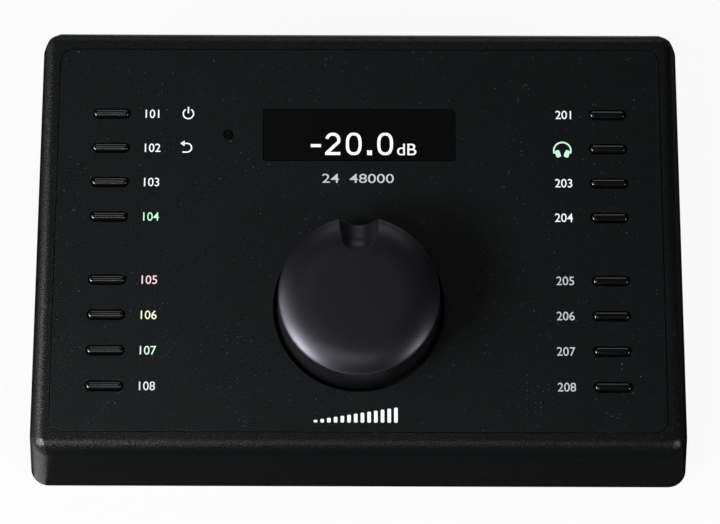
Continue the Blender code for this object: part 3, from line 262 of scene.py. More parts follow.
def new_object(name, build, matrix=Matrix.Identity(4)):
    """A mesh object made by a function that fills a bmesh."""
    mesh = bpy.data.meshes.new(name)
    work = bmesh.new()
    build(work)
    work.to_mesh(mesh)
    work.free()
    return add_object(name, mesh, matrix)


def apply_modifiers(obj):
    bpy.context.view_layer.update()
    graph = bpy.context.evaluated_depsgraph_get()
    mesh = bpy.data.meshes.new_from_object(obj.evaluated_get(graph))
    obj.modifiers.clear()
    obj.data = mesh
    return obj


def mesh_of(drawn):
    """The mesh of a curve or text object, which is then removed."""
    bpy.context.view_layer.update()
    graph = bpy.context.evaluated_depsgraph_get()
    mesh = bpy.data.meshes.new_from_object(drawn.evaluated_get(graph))
    bpy.data.objects.remove(drawn, do_unlink=True)
    return mesh


def boolean(obj, tool, operation="DIFFERENCE", folded=False):
    """Cut or join at once, then remove the tool; folded is for a tool whose skin crosses itself."""
    step = obj.modifiers.new("boolean", "BOOLEAN")
    step.operation = operation
    step.solver = "EXACT"
    step.use_self = folded
    step.object = tool
    apply_modifiers(obj)
    bpy.data.objects.remove(tool, do_unlink=True)
    return obj


def rounded_outline(width, length, radius, centre=(0, 0), steps=8):
    points = []
    for turn, (side, end) in enumerate(((1, 1), (-1, 1), (-1, -1), (1, -1))):
        middle = Vector(centre) + Vector((side * (width / 2 - radius), end * (length / 2 - radius)))
        for step in range(steps + 1):
            angle = math.pi / 2 * (turn + step / steps)
            point = middle + radius * Vector((math.cos(angle), math.sin(angle)))
            if not points or (point - points[-1]).length > 1e-6:
                points.append(point)
    if (points[0] - points[-1]).length < 1e-6:
        points.pop()
    return points


def plate(name, outlines, bottom, top, matrix=Matrix.Identity(4)):
    """A flat outline with holes, filled and given a thickness."""
    curve = bpy.data.curves.new(name, "CURVE")
    curve.dimensions = "2D"
    curve.fill_mode = "BOTH"
    curve.extrude = (top - bottom) / 2
    for outline in outlines:
        spline = curve.splines.new("POLY")
        spline.points.add(len(outline) - 1)
        for point, place in zip(spline.points, outline):
            point.co = (place[0], place[1], 0, 1)
        spline.use_cyclic_u = True
    mesh = mesh_of(add_object(name, curve))
    work = bmesh.new()
    work.from_mesh(mesh)
    bmesh.ops.remove_doubles(work, verts=work.verts, dist=1e-6)
    bmesh.ops.translate(work, verts=work.verts, vec=(0, 0, (top + bottom) / 2))
    bmesh.ops.recalc_face_normals(work, faces=work.faces)
    bmesh.ops.dissolve_limit(work, angle_limit=math.radians(0.5), verts=work.verts, edges=work.edges)
    work.to_mesh(mesh)
    work.free()
    return add_object(name, mesh, matrix)


def finish_surface(obj, material, body="housing", angle=32):
    """Smooth shading that keeps flat faces flat, one material, and the body that it rides on."""
    obj.data.materials.clear()
    obj.data.materials.append(material)
    obj.data.shade_smooth()
    obj.data.set_sharp_from_angle(angle=math.radians(angle))
    normals = obj.modifiers.new("face_normals", "WEIGHTED_NORMAL")
    normals.keep_sharp = True
    normals.weight = 100
    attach(obj, body)
    return obj


def wedge(inset, top_drop, bottom_drop):
    """The case's form, or its cavity, which is set in from it."""
    def build(work):
        bmesh.ops.create_cube(work, size=1)
        for corner in work.verts:
            side, end, level = (math.copysign(1, value) for value in corner.co)
            if level > 0:
                half = CASE_TOP_WIDTH / 2 - inset
                y = front_shift + inset if end < 0 else case_depth - inset
                z = CASE_FRONT_HEIGHT + (y - front_shift) * math.tan(PANEL_TILT) - top_drop
            else:
                half = CASE_BASE_WIDTH / 2 - inset
                y = inset if end < 0 else case_depth - inset
                z = -bottom_drop
            corner.co = (side * half, y, z)
    return build


case = new_object("case_housing", wedge(0, 0, CASE_SKIRT), case_matrix)
weights = case.data.attributes.new("bevel_weight_edge", "FLOAT", "EDGE")
for edge in case.data.edges:
    ends = [case.data.vertices[i].co for i in edge.vertices]
    radius, turn = CASE_EDGE_RADIUS, math.pi / 2
    if all(end.y < CASE_TOP_LENGTH / 2 for end in ends):
        radius, turn = CASE_FRONT_RADIUS, math.pi / 2 - PANEL_TILT - CASE_FRONT_DRAFT
    elif all(end.y > CASE_TOP_LENGTH / 2 for end in ends):
        radius, turn = CASE_REAR_RADIUS, math.pi / 2 + PANEL_TILT
    if min(end.z for end in ends) > 0:
        weights.data[edge.index].value = radius * math.tan(turn / 2) / CASE_CORNER_RADIUS
    elif max(end.z for end in ends) > 0:
        weights.data[edge.index].value = 1
rounding = case.modifiers.new("rounding", "BEVEL")
rounding.limit_method = "WEIGHT"
rounding.width = CASE_CORNER_RADIUS
rounding.offset_type = "OFFSET"
rounding.segments = 12
rounding.use_clamp_overlap = False
boolean(case, new_object("cavity", wedge(CASE_WALL, CASE_TOP_WALL, CASE_SKIRT + OVERCUT), case_matrix))
boolean(case, plate("recess", [rounded_outline(
    PANEL_WIDTH + 2 * PANEL_SEAM, PANEL_LENGTH + 2 * PANEL_SEAM, PANEL_CORNER_RADIUS + PANEL_SEAM)],
    -PANEL_RECESS, OVERCUT, panel_matrix))
boolean(case, plate("opening", [rounded_outline(
    PANEL_WIDTH - 2 * PANEL_LEDGE, PANEL_LENGTH - 2 * PANEL_LEDGE, PANEL_CORNER_RADIUS)],
    -CASE_TOP_WALL - OVERCUT, OVERCUT - PANEL_RECESS, panel_matrix))
rear_matrix = (
    case_matrix @ Matrix.Translation((0, case_depth, 0))
    @ Matrix.Rotation(math.pi, 4, "Z") @ Matrix.Rotation(math.pi / 2, 4, "X"))
boolean(case, plate(
    "rear_window", [rounded_outline(*REAR_WINDOW, 0.002, (0, REAR_WINDOW_CENTRE_Z))],
    -CASE_WALL - OVERCUT, OVERCUT, rear_matrix))

# Powder coat: baked polyester grains, about a quarter of a millimetre across, drawn a
# little coarser so that they show. Each grain tips the surface a little its own way.
powder_coat, tree, shader = new_material(
    "textured_powder_coat_black", {"Roughness": 0.28, "Specular IOR Level": 0.28, "IOR": 1.5})
GRAIN_MM = 0.38
coordinates = add_node(tree, "ShaderNodeTexCoord")
grains = add_node(
    tree, "ShaderNodeTexNoise", {"Scale": 1000 / GRAIN_MM, "Detail": 2.0, "Roughness": 0.6},
    {"Vector": (coordinates, "Object")})
clouds = add_node(
    tree, "ShaderNodeTexNoise", {"Scale": 60.0, "Detail": 3.0}, {"Vector": (coordinates, "Object")})
tone = add_node(
    tree, "ShaderNodeMix", {"data_type": "RGBA", 6: linear("#060708"), 7: linear("#090A0B")},
    {0: (clouds, "Fac")})
tree.links.new(tone.outputs[2], shader.inputs["Base Color"])
gloss = add_node(
    tree, "ShaderNodeMapRange", {"From Min": 0.3, "From Max": 0.7, "To Min": 0.22, "To Max": 0.34},
    {"Value": (grains, "Fac")})
tree.links.new(gloss.outputs[0], shader.inputs["Roughness"])
bump = add_node(
    tree, "ShaderNodeBump", {"Strength": 1.0, "Distance": 0.00011}, {"Height": (grains, "Fac")})
tree.links.new(bump.outputs[0], shader.inputs["Normal"])
finish_surface(case, powder_coat)
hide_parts("case_shell")


# Panel plate: flat aluminium sheet let into the case, spray painted satin black, with
# rounded slots for the keys, the window, the sensor's hole and the knob's round hole.
PANEL_THICKNESS = 0.0015
KEY_COLUMN_X = 0.0772
KEY_FIRST_ROW_Y = PANEL_LENGTH / 2 - 0.02095
KEY_ROW_PITCH = 0.0110
KEY_GROUP_PITCH = 0.01995
SLOT_LENGTH = 0.0117
SLOT_WIDTH = 0.0033
WINDOW_WIDTH = 0.0598
WINDOW_HEIGHT = 0.0169
WINDOW_Y = PANEL_LENGTH / 2 - 0.01915 - WINDOW_HEIGHT / 2
KNOB_Y = 0.0385 - PANEL_LENGTH / 2
KNOB_HOLE_RADIUS = 0.0262
SENSOR_X = -0.0407
SENSOR_HOLE_RADIUS = 0.0016

key_rows = []
row_y = KEY_FIRST_ROW_Y
for group in range(2):
    key_rows.extend(row_y - KEY_ROW_PITCH * row for row in range(4))
    row_y = key_rows[-1] - KEY_GROUP_PITCH


def circle(radius, centre=(0, 0), steps=96):
    return [
        Vector(centre) + radius * Vector((math.cos(math.tau * i / steps), math.sin(math.tau * i / steps)))
        for i in range(steps)
    ]


outlines = [rounded_outline(PANEL_WIDTH, PANEL_LENGTH, PANEL_CORNER_RADIUS)]
for side in (-1, 1):
    for row in key_rows:
        outlines.append(rounded_outline(SLOT_LENGTH, SLOT_WIDTH, SLOT_WIDTH / 2, (side * KEY_COLUMN_X, row)))
outlines.append(rounded_outline(WINDOW_WIDTH, WINDOW_HEIGHT, 0.0008, (0, WINDOW_Y), 4))
outlines.append(circle(KNOB_HOLE_RADIUS, (0, KNOB_Y), 160))
outlines.append(circle(SENSOR_HOLE_RADIUS, (SENSOR_X, WINDOW_Y), 32))
panel = plate("panel_plate", outlines, -PANEL_THICKNESS, 0, panel_matrix)
chamfer = panel.modifiers.new("paint_edge", "BEVEL")
chamfer.limit_method = "ANGLE"
chamfer.angle_limit = math.radians(60)
chamfer.width = 0.00016
chamfer.segments = 2
chamfer.use_clamp_overlap = False
apply_modifiers(panel)

# Satin paint: finer than the case's coat, with painted glints, dust-sized specks of light colour in the base
# colour, in drifting clusters. Its orange peel is about 0.3 mm, drawn at 0.4 mm so that it shows.
panel_paint, tree, shader = new_material(
    "satin_paint_black", {"Roughness": 0.36, "Specular IOR Level": 0.19, "IOR": 1.5})
PEEL_MM = 0.4
coordinates = add_node(tree, "ShaderNodeTexCoord")
peel = add_node(
    tree, "ShaderNodeTexNoise", {"Scale": 1000 / PEEL_MM, "Detail": 1.5, "Roughness": 0.5},
    {"Vector": (coordinates, "Object")})
tone = add_node(
    tree, "ShaderNodeMix", {"data_type": "RGBA", 6: linear("#08090A"), 7: linear("#0A0C0D")},
    {0: (peel, "Fac")})
# Painted highlights: pale specks mixed into the base colour stand in for glints of light on the paint.
GLINT_MM = 0.8
glint_cells = add_node(
    tree, "ShaderNodeTexVoronoi", {"Scale": 1000 / GLINT_MM, "Randomness": 1.0},
    {"Vector": (coordinates, "Object")})
lot = add_node(tree, "ShaderNodeSeparateColor", None, {0: (glint_cells, "Color")})
drift = add_node(
    tree, "ShaderNodeTexNoise", {"Scale": 70.0, "Detail": 3.0}, {"Vector": (coordinates, "Object")})
draw = add_node(tree, "ShaderNodeMath", {"operation": "ADD"}, {0: (lot, "Red"), 1: (drift, "Fac")})
chosen = add_node(tree, "ShaderNodeMapRange", {"From Min": 1.32, "From Max": 1.55}, {"Value": (draw, 0)})
point = add_node(
    tree, "ShaderNodeMapRange", {"From Min": 0.06, "From Max": 0.18, "To Min": 1.0, "To Max": 0.0},
    {"Value": (glint_cells, "Distance")})
glint = add_node(tree, "ShaderNodeMath", {"operation": "MULTIPLY"}, {0: (chosen, 0), 1: (point, 0)})
tone = add_node(
    tree, "ShaderNodeMix", {"data_type": "RGBA", 7: linear("#7E8286")}, {0: (glint, 0), 6: (tone, 2)})
tree.links.new(tone.outputs[2], shader.inputs["Base Color"])
gloss = add_node(
    tree, "ShaderNodeMapRange", {"From Min": 0.3, "From Max": 0.7, "To Min": 0.28, "To Max": 0.42},
    {"Value": (peel, "Fac")})
tree.links.new(gloss.outputs[0], shader.inputs["Roughness"])
bump = add_node(tree, "ShaderNodeBump", {"Strength": 1.0, "Distance": 0.00012}, {"Height": (peel, "Fac")})
tree.links.new(bump.outputs[0], shader.inputs["Normal"])
finish_surface(panel, panel_paint)
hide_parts("front_overlay")


# Knob well: black moulded ABS cup behind the panel's round hole. The mould's fine grain
# keeps it from mirroring.
def mottled(name, settings, dark, light, pattern, gloss=None, relief=0.0, strength=1.0,
            kind="ShaderNodeTexNoise", output="Fac", spread=None):
    """A material that drifts between two near shades along a texture, noise unless another kind is named.

    The texture may move the gloss and the relief too; spread is the part of it that shows."""
    material, tree, shader = new_material(name, settings)
    coordinates = add_node(tree, "ShaderNodeTexCoord")
    texture = (add_node(tree, kind, pattern, {"Vector": (coordinates, "Object")}), output)
    if spread:
        low, high = spread
        texture = (add_node(
            tree, "ShaderNodeMapRange", {"From Min": low, "From Max": high}, {"Value": texture}), 0)
    tone = add_node(
        tree, "ShaderNodeMix", {"data_type": "RGBA", 6: linear(dark), 7: linear(light)}, {0: texture})
    tree.links.new(tone.outputs[2], shader.inputs["Base Color"])
    if gloss:
        rough = add_node(tree, "ShaderNodeMapRange", gloss, {"Value": texture})
        tree.links.new(rough.outputs[0], shader.inputs["Roughness"])
    if relief:
        bump = add_node(
            tree, "ShaderNodeBump", {"Strength": strength, "Distance": relief}, {"Height": texture})
        tree.links.new(bump.outputs[0], shader.inputs["Normal"])
    return material


moulded_black = mottled(
    "moulded_abs_black", {"Roughness": 0.55, "IOR": 1.54, "Specular IOR Level": 0.4},
    "#0B0B0C", "#121213", {"Scale": 3000.0, "Detail": 2.0}, relief=0.00003, strength=0.2)


def dress(node_name, material):
    """A CAD node that keeps its shape gets its real material."""
    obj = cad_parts[node_name]
    obj.data.materials.clear()
    obj.data.materials.append(material)
    return obj


dress("knob_well", moulded_black)


# Knob: a moulded cap with a soft-touch coat in a dark violet grey. Its top falls off in
# a shallow crown towards the rim, and a fingertip groove runs over the rear rim.
KNOB_RADIUS = 0.0250
KNOB_TOP_RADIUS = 0.0242
KNOB_RISE = 0.0198
CROWN_REACH = 0.0120
CROWN_DROP = 0.0027
CROWN_POWER = 2.6
RIM_RADIUS = 0.0004
KNOB_SKIRT = 0.0044
KNOB_WALL = 0.0024
KNOB_ROOF = 0.0134
KNOB_HUB_RADIUS = 0.0066
KNOB_HUB_FOOT = -0.0010
BUSH_RADIUS = 0.0050
BUSH_TOP = 0.0098
GROOVE_HALF_WIDTH = 0.0053
GROOVE_DEPTH = 0.0021
GROOVE_START = 0.0184
GROOVE_BEND = 0.0028
GROOVE_END_Z = 0.0110
knob_matrix = panel_matrix @ Matrix.Translation((0, KNOB_Y, 0))


def turned(name, profile, steps, closed=False, matrix=Matrix.Identity(4)):
    """A profile of (radius, height) points turned about z, outer side top to bottom."""
    mesh = bpy.data.meshes.new(name)
    edges = [(i, i + 1) for i in range(len(profile) - 1)]
    if closed:
        edges.append((len(profile) - 1, 0))
    mesh.from_pydata([(radius, 0, height) for radius, height in profile], edges, [])
    obj = add_object(name, mesh, matrix)
    screw = obj.modifiers.new("turn", "SCREW")
    screw.steps = steps
    screw.render_steps = steps
    screw.use_merge_vertices = True
    screw.merge_threshold = 1e-6
    return apply_modifiers(obj)


def crown(radius):
    """Height of the knob's top at a radius: flat in the middle, falling ever faster to the rim."""
    share = max(radius - KNOB_TOP_RADIUS + CROWN_REACH, 0) / CROWN_REACH
    return KNOB_RISE - CROWN_DROP * share ** CROWN_POWER


profile = [(0, KNOB_RISE)]
rim = KNOB_TOP_RADIUS - RIM_RADIUS
for step in range(25):
    radius = rim - CROWN_REACH * (1 - step / 24)
    profile.append((radius, crown(radius)))
for step in range(1, 6):
    angle = math.radians(60) * (1 - step / 5)
    profile.append((rim + RIM_RADIUS * math.cos(angle), crown(rim) - RIM_RADIUS * (0.87 - math.sin(angle))))
profile += [
    (KNOB_RADIUS, -KNOB_SKIRT),
    (KNOB_RADIUS - KNOB_WALL, -KNOB_SKIRT),
    (KNOB_TOP_RADIUS - 2 * KNOB_WALL, KNOB_ROOF - KNOB_WALL),
    (KNOB_TOP_RADIUS - 3 * KNOB_WALL, KNOB_ROOF),
    (KNOB_HUB_RADIUS, KNOB_ROOF),
    (KNOB_HUB_RADIUS, KNOB_HUB_FOOT),
    (BUSH_RADIUS, KNOB_HUB_FOOT),
    (BUSH_RADIUS, BUSH_TOP),
    (0, BUSH_TOP),
]
knob = turned("volume_knob", profile, 192, matrix=knob_matrix)


def groove_cutter(matrix):
    """A round-ended cutter that follows the knob's profile outside it, over the rim and down the wall."""
    radius = (GROOVE_HALF_WIDTH ** 2 + GROOVE_DEPTH ** 2) / (2 * GROOVE_DEPTH)
    clear = radius - GROOVE_DEPTH
    bend = GROOVE_BEND + clear
    route = [(GROOVE_START, crown(GROOVE_START) + clear)]
    for step in range(15):
        angle = math.radians(70) * (1 - step / 14)
        route.append((
            KNOB_TOP_RADIUS - GROOVE_BEND + bend * math.cos(angle),
            crown(KNOB_TOP_RADIUS) - GROOVE_BEND + bend * math.sin(angle)))
    route.append((KNOB_TOP_RADIUS + clear, GROOVE_END_Z))
    stations = []
    for step in range(12):
        angle = math.pi / 2 * (1 - step / 12)
        stations.append((route[0][0] - radius * math.sin(angle), route[0][1], max(math.cos(angle), 0.01)))
    stations += [(y, z, 1.0) for y, z in route]
    for step in range(1, 13):
        angle = math.pi / 2 * step / 12
        stations.append((route[-1][0], route[-1][1] - radius * math.sin(angle), max(math.cos(angle), 0.01)))
    curve = bpy.data.curves.new("groove_cutter", "CURVE")
    curve.dimensions = "3D"
    curve.bevel_depth = radius
    curve.bevel_resolution = 16
    curve.use_fill_caps = True
    line = curve.splines.new("POLY")
    line.points.add(len(stations) - 1)
    for point, (y, z, share) in zip(line.points, stations):
        point.co = (0, y, z, 1)
        point.radius = share
    return add_object("groove_cutter", mesh_of(add_object("groove_cutter", curve)), matrix)


boolean(knob, groove_cutter(knob_matrix), folded=True)
knob.data.transform(knob_matrix)
knob.matrix_world = Matrix.Identity(4)
soft_touch = mottled(
    "soft_touch_coat_violet_grey",
    {"Roughness": 0.35, "IOR": 1.5, "Specular IOR Level": 0.5, "Specular Tint": linear("#ECEAFC")},
    "#070709", "#09090C", {"Scale": 4000.0, "Detail": 2.0}, relief=0.00003, strength=0.12)
finish_surface(knob, soft_touch, "knob_rotor")
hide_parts("knob")


# Keys: sixteen slim caps, moulded in satin black ABS, each with a rounded crest that
# catches the light in a line with a dot at each end.
KEY_LENGTH = 0.0109
KEY_WIDTH = 0.0023
KEY_RISE = 0.0010
KEY_CREST = 0.00055
KEY_DEPTH = 0.0024
key_plastic = mottled(
    "satin_abs_black", {"Roughness": 0.12, "IOR": 1.54, "Specular IOR Level": 0.5},
    "#060607", "#09090A", {"Scale": 2500.0, "Detail": 2.0}, {"To Min": 0.10, "To Max": 0.15})
def domed_cap(work):
    """A round-ended cap whose top is domed to a crest line, as one closed skin."""
    rings = [(0.0, -KEY_DEPTH)]
    for step in range(9):
        angle = math.radians(85) * step / 8
        rings.append((
            KEY_WIDTH / 2 * (1 - math.cos(angle)), KEY_RISE - KEY_CREST * (1 - math.sin(angle))))
    loops = []
    for inset, z in rings:
        width = KEY_WIDTH - 2 * inset
        loops.append([
            work.verts.new((*place, z))
            for place in rounded_outline(KEY_LENGTH - 2 * inset, width, width / 2, steps=7)])
    for low, high in zip(loops, loops[1:]):
        for i in range(len(low)):
            work.faces.new((low[i - 1], low[i], high[i], high[i - 1]))
    work.faces.new(loops[-1])
    work.faces.new(loops[0][::-1])


for column, side in enumerate((-1, 1)):
    for row, row_y in enumerate(key_rows):
        number = column * 8 + row + 1
        key = new_object(
            f"key_cap_{number:02d}", domed_cap,
            panel_matrix @ Matrix.Translation((side * KEY_COLUMN_X, row_y, 0)))
        finish_surface(key, key_plastic, f"body_key_{number:02d}")
        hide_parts(f"key_{number:02d}")


# Display: a flush window of black acrylic over a white dot display. Its face has faint
# wipe marks, and the lit digits show just at the window's face.
WINDOW_GAP = 0.0002
WINDOW_THICKNESS = 0.0022
WINDOW_SINK = 0.00005
acrylic = mottled(
    "cast_acrylic_black", {"Roughness": 0.12, "IOR": 1.49, "Specular IOR Level": 0.35},
    "#050506", "#070708", {"Scale": 25.0, "Detail": 4.0}, {"To Min": 0.08, "To Max": 0.16})
window = plate("window", [rounded_outline(
    WINDOW_WIDTH - 2 * WINDOW_GAP, WINDOW_HEIGHT - 2 * WINDOW_GAP, 0.0006, (0, WINDOW_Y), 4)],
    -WINDOW_THICKNESS, -WINDOW_SINK, panel_matrix)
finish_surface(window, acrylic)
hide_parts("display_glass")
dress("sensor_lens", acrylic)

INK_THICKNESS = 0.00003


def lettering(name, words, height, left, right, baseline, material, align="LEFT"):
    """Words as a thin print: fitted between left and right, or at one of them in their own width."""
    curve = bpy.data.curves.new(name, "FONT")
    curve.body = words
    curve.size = 1
    curve.offset = 0.002
    curve.extrude = 0.1
    curve.resolution_u = 6
    mesh = mesh_of(add_object(name, curve))
    low = Vector([min(v.co[i] for v in mesh.vertices) for i in range(3)])
    high = Vector([max(v.co[i] for v in mesh.vertices) for i in range(3)])
    tall = height / (high.y - low.y)
    wide = tall if align else (right - left) / (high.x - low.x)
    start = right - (high.x - low.x) * wide if align == "RIGHT" else left
    for vertex in mesh.vertices:
        vertex.co = (
            start + (vertex.co.x - low.x) * wide,
            baseline + (vertex.co.y - low.y) * tall,
            INK_THICKNESS if vertex.co.z > 0 else 0)
    print_object = add_object(name, mesh, panel_matrix @ Matrix.Translation((0, 0, INK_THICKNESS / 3)))
    mesh.materials.append(material)
    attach(print_object, "housing")


def lit_print(name, code):
    """A translucent print lit from behind: most of its colour is its own light, a little uneven."""
    material, tree, shader = new_material(name, {"Roughness": 0.5, "Emission Strength": 0.7})
    coordinates = add_node(tree, "ShaderNodeTexCoord")
    spread = add_node(
        tree, "ShaderNodeTexNoise", {"Scale": 300.0, "Detail": 1.0}, {"Vector": (coordinates, "Object")})
    colour = linear(code)
    tone = add_node(
        tree, "ShaderNodeMix", {"data_type": "RGBA", 6: (*[v * 0.85 for v in colour[:3]], 1), 7: colour},
        {0: (spread, "Fac")})
    ink = add_node(
        tree, "ShaderNodeMix", {"data_type": "RGBA", 0: 0.35, 6: linear("#000000")}, {7: (tone, 2)})
    tree.links.new(ink.outputs[2], shader.inputs["Base Color"])
    tree.links.new(tone.outputs[2], shader.inputs["Emission Color"])
    return material


ROUNDNESS = 0.78


def ring(centre, width, height, stroke):
    """The figure 0: an upright rounded ring."""
    outlines = []
    for inset in (0, stroke):
        outline = []
        for i in range(64):
            angle = math.tau * i / 64
            across, up = math.cos(angle), math.sin(angle)
            outline.append(Vector((
                centre[0] + (width / 2 - inset) * math.copysign(abs(across) ** ROUNDNESS, across),
                centre[1] + (height / 2 - inset * 0.9) * math.copysign(abs(up) ** ROUNDNESS, up))))
        outlines.append(outline)
    return outlines


def ribbon(points, width):
    """A stroke of one width along a line of points."""
    sides = ([], [])
    points = [Vector(point) for point in points]
    for i, point in enumerate(points):
        before = (point - points[i - 1]).normalized() if i else (points[1] - point).normalized()
        after = (points[i + 1] - point).normalized() if i < len(points) - 1 else before
        middle = (before + after).normalized()
        reach = width / 2 / max(middle.dot(after), 0.5)
        for side, sign in zip(sides, (1, -1)):
            side.append(point + Vector((-middle.y, middle.x)) * reach * sign)
    return [sides[0] + sides[1][::-1]]


display_white = lit_print("display_pixels_white", "#FFFFFF")
READING_BASE = 0.02625
READING_HEIGHT = 0.0072
READING_STROKE = 0.00096
ZERO_WIDTH = 0.0049
half = READING_STROKE / 2
middle = READING_BASE + READING_HEIGHT / 2
two_x, two_width, two_rise = -0.0106, 0.0047, 0.0018
bend = Vector((two_x + two_width / 2, READING_BASE + READING_HEIGHT - half - two_rise))
two_bow = [
    bend + Vector(((two_width / 2 - half) * math.cos(a), two_rise * math.sin(a)))
    for a in [math.radians(170 - 11 * i) for i in range(19)]]
two_bow.append(Vector((two_x + half, READING_BASE + READING_STROKE * 0.7)))
figures = {
    "reading_minus": ribbon([(-0.0151, middle - 0.0006), (-0.0119, middle - 0.0006)], READING_STROKE),
    "reading_2_bow": ribbon(two_bow, READING_STROKE),
    "reading_2_foot": ribbon(
        [(two_x, READING_BASE + half), (two_x + two_width, READING_BASE + half)], READING_STROKE),
    "reading_0": ring((-0.00175, middle), ZERO_WIDTH, READING_HEIGHT, READING_STROKE),
    "reading_point": ribbon([(0.0024, READING_BASE + 0.00075), (0.0039, READING_BASE + 0.00075)], 0.0015),
    "reading_0_last": ring((0.0080, middle), ZERO_WIDTH, READING_HEIGHT, READING_STROKE),
}
for name, outlines in figures.items():
    figure = plate(name, outlines, INK_THICKNESS / 3, INK_THICKNESS, panel_matrix)
    figure.data.materials.append(display_white)
    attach(figure, "housing")
lettering("reading_unit", "dB", 0.0037, 0.0117, 0.0177, READING_BASE, display_white, None)


# Legends beside the keys: translucent prints in the panel's paint, lit from behind in
# the colour of their function. They carry plain numbers and generic signs.
LEGEND_HEIGHT = 0.0027
LEGEND_DROP = 0.00140
LEFT_LEGEND_X = -0.0666
RIGHT_LEGEND_X = 0.0659
TINTS = {
    "white": "#F8FBFE", "green": "#C2F2D0", "pink": "#F4D0D8", "yellow": "#F2F4D4", "mint": "#D0F8E2",
    "lavender": "#DCDFE8", "grey": "#BFC3C9", "aqua": "#C6F8DA"}
LEFT_TINTS = ("white", "white", "white", "green", "pink", "yellow", "mint", "lavender")
RIGHT_TINTS = ("white", None, "white", "white", "grey", "grey", "grey", "grey")
legend = {tint: lit_print(f"legend_{tint}", code) for tint, code in TINTS.items()}
for row, row_y in enumerate(key_rows):
    base = row_y - LEGEND_DROP
    lettering(
        f"legend_left_{row + 1}", f"10{row + 1}", LEGEND_HEIGHT, LEFT_LEGEND_X, 0, base,
        legend[LEFT_TINTS[row]])
    if RIGHT_TINTS[row]:
        lettering(
            f"legend_right_{row + 1}", f"20{row + 1}", LEGEND_HEIGHT, 0, RIGHT_LEGEND_X, base,
            legend[RIGHT_TINTS[row]], "RIGHT")


def sign(name, outlines, material):
    """A small pictogram, printed like the legends."""
    for index, outline in enumerate(outlines):
        shape = plate(f"{name}_{index}", [outline], INK_THICKNESS / 3, INK_THICKNESS, panel_matrix)
        shape.data.materials.append(material)
        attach(shape, "housing")


def ring_arc(centre, radius, width, start, end, steps=40):
    angles = [math.radians(start + (end - start) * i / steps) for i in range(steps + 1)]
    outer = [Vector(centre) + (radius + width / 2) * Vector((math.cos(a), math.sin(a))) for a in angles]
    inner = [Vector(centre) + (radius - width / 2) * Vector((math.cos(a), math.sin(a))) for a in angles]
    return outer + inner[::-1]


def bar(centre, width, height, turn=0.0):
    points = rounded_outline(width, height, min(width, height) * 0.3, (0, 0), 4)
    turn = Matrix.Rotation(turn, 2)
    return [Vector(centre) + turn @ point for point in points]


STROKE = 0.00042
standby = Vector((-0.0533, key_rows[0]))
sign("standby_sign", [
    ring_arc(standby, 0.0016, STROKE, 122, 418),
    bar(standby + Vector((0, 0.0012)), STROKE, 0.0021)], legend["white"])
turn_back = Vector((-0.0535, key_rows[1]))
sign("return_sign", [
    ring_arc(turn_back, 0.0014, STROKE, -90, 90),
    bar(turn_back + Vector((-0.0007, -0.0014)), 0.0015, STROKE),
    bar(turn_back + Vector((-0.0005, 0.0014)), 0.0012, STROKE),
    [turn_back + Vector(p) for p in ((-0.0021, 0.0014), (-0.0008, 0.0023), (-0.0008, 0.0005))]],
    legend["white"])
ears = Vector((0.0630, key_rows[1] - 0.0006))
sign("headphones_sign", [
    ring_arc(ears, 0.00265, 0.0005, -20, 200),
    bar(ears + Vector((-0.0014, -0.0010)), 0.0015, 0.0023, 0.34),
    bar(ears + Vector((0.0014, -0.0010)), 0.0015, 0.0023, -0.34)], legend["aqua"])
lettering("status_line", "24  48000", 0.0029, -0.0115, 0.0107, 0.0173, legend["grey"], None)

# Below the knob: a row of rising bars, the common sign for less and more volume.
BAR_COUNT = 13
BAR_WIDTH = 0.0011
BARS_LEFT = -0.0130
BARS_RIGHT = 0.0113
BARS_BASE = -0.0576
BAR_HEIGHTS = (0.0008, 0.0046)
for index in range(BAR_COUNT):
    share = index / (BAR_COUNT - 1)
    height = BAR_HEIGHTS[0] + (BAR_HEIGHTS[1] - BAR_HEIGHTS[0]) * share
    x = BARS_LEFT + (BARS_RIGHT - BARS_LEFT) * share
    outline = bar((x, BARS_BASE + height / 2), BAR_WIDTH, height)
    sign(f"volume_bar_{index + 1:02d}", [outline], legend["white"])


# Rear panel: aluminium sheet, glass blasted and anodised black, let into the case's rear
# window. The blasting leaves it matt and even.
def fine_finish(name, settings, dark, light, grains_per_metre, relief=0.0):
    """A one-colour finish whose gloss wavers with the slight mottle of its making."""
    rough = settings["Roughness"]
    gloss = {"From Min": 0.3, "From Max": 0.7, "To Min": rough * 0.85, "To Max": rough * 1.15}
    return mottled(
        name, settings, dark, light, {"Scale": float(grains_per_metre), "Detail": 3.0}, gloss, relief)


anodised_black = fine_finish(
    "blasted_anodised_aluminium_black", {"Roughness": 0.45, "IOR": 1.5, "Specular IOR Level": 0.5},
    "#101113", "#16171A", 2500, 0.00002)
dress("rear_panel", anodised_black)
rear_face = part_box("rear_panel")[1][1]


def rear_place(node):
    """The frame of a connector: x to the viewer's right, y up, z out of the rear panel's face."""
    low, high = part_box(node)
    return (
        Matrix.Translation(((low[0] + high[0]) / 2, rear_face, (low[2] + high[2]) / 2))
        @ Matrix.Rotation(math.pi, 4, "Z") @ Matrix.Rotation(math.pi / 2, 4, "X"))


def soften(obj, width, segments=2):
    """Break every sharp edge."""
    edge = obj.modifiers.new("edge", "BEVEL")
    edge.limit_method = "ANGLE"
    edge.angle_limit = math.radians(50)
    edge.width = width
    edge.segments = segments
    return apply_modifiers(obj)


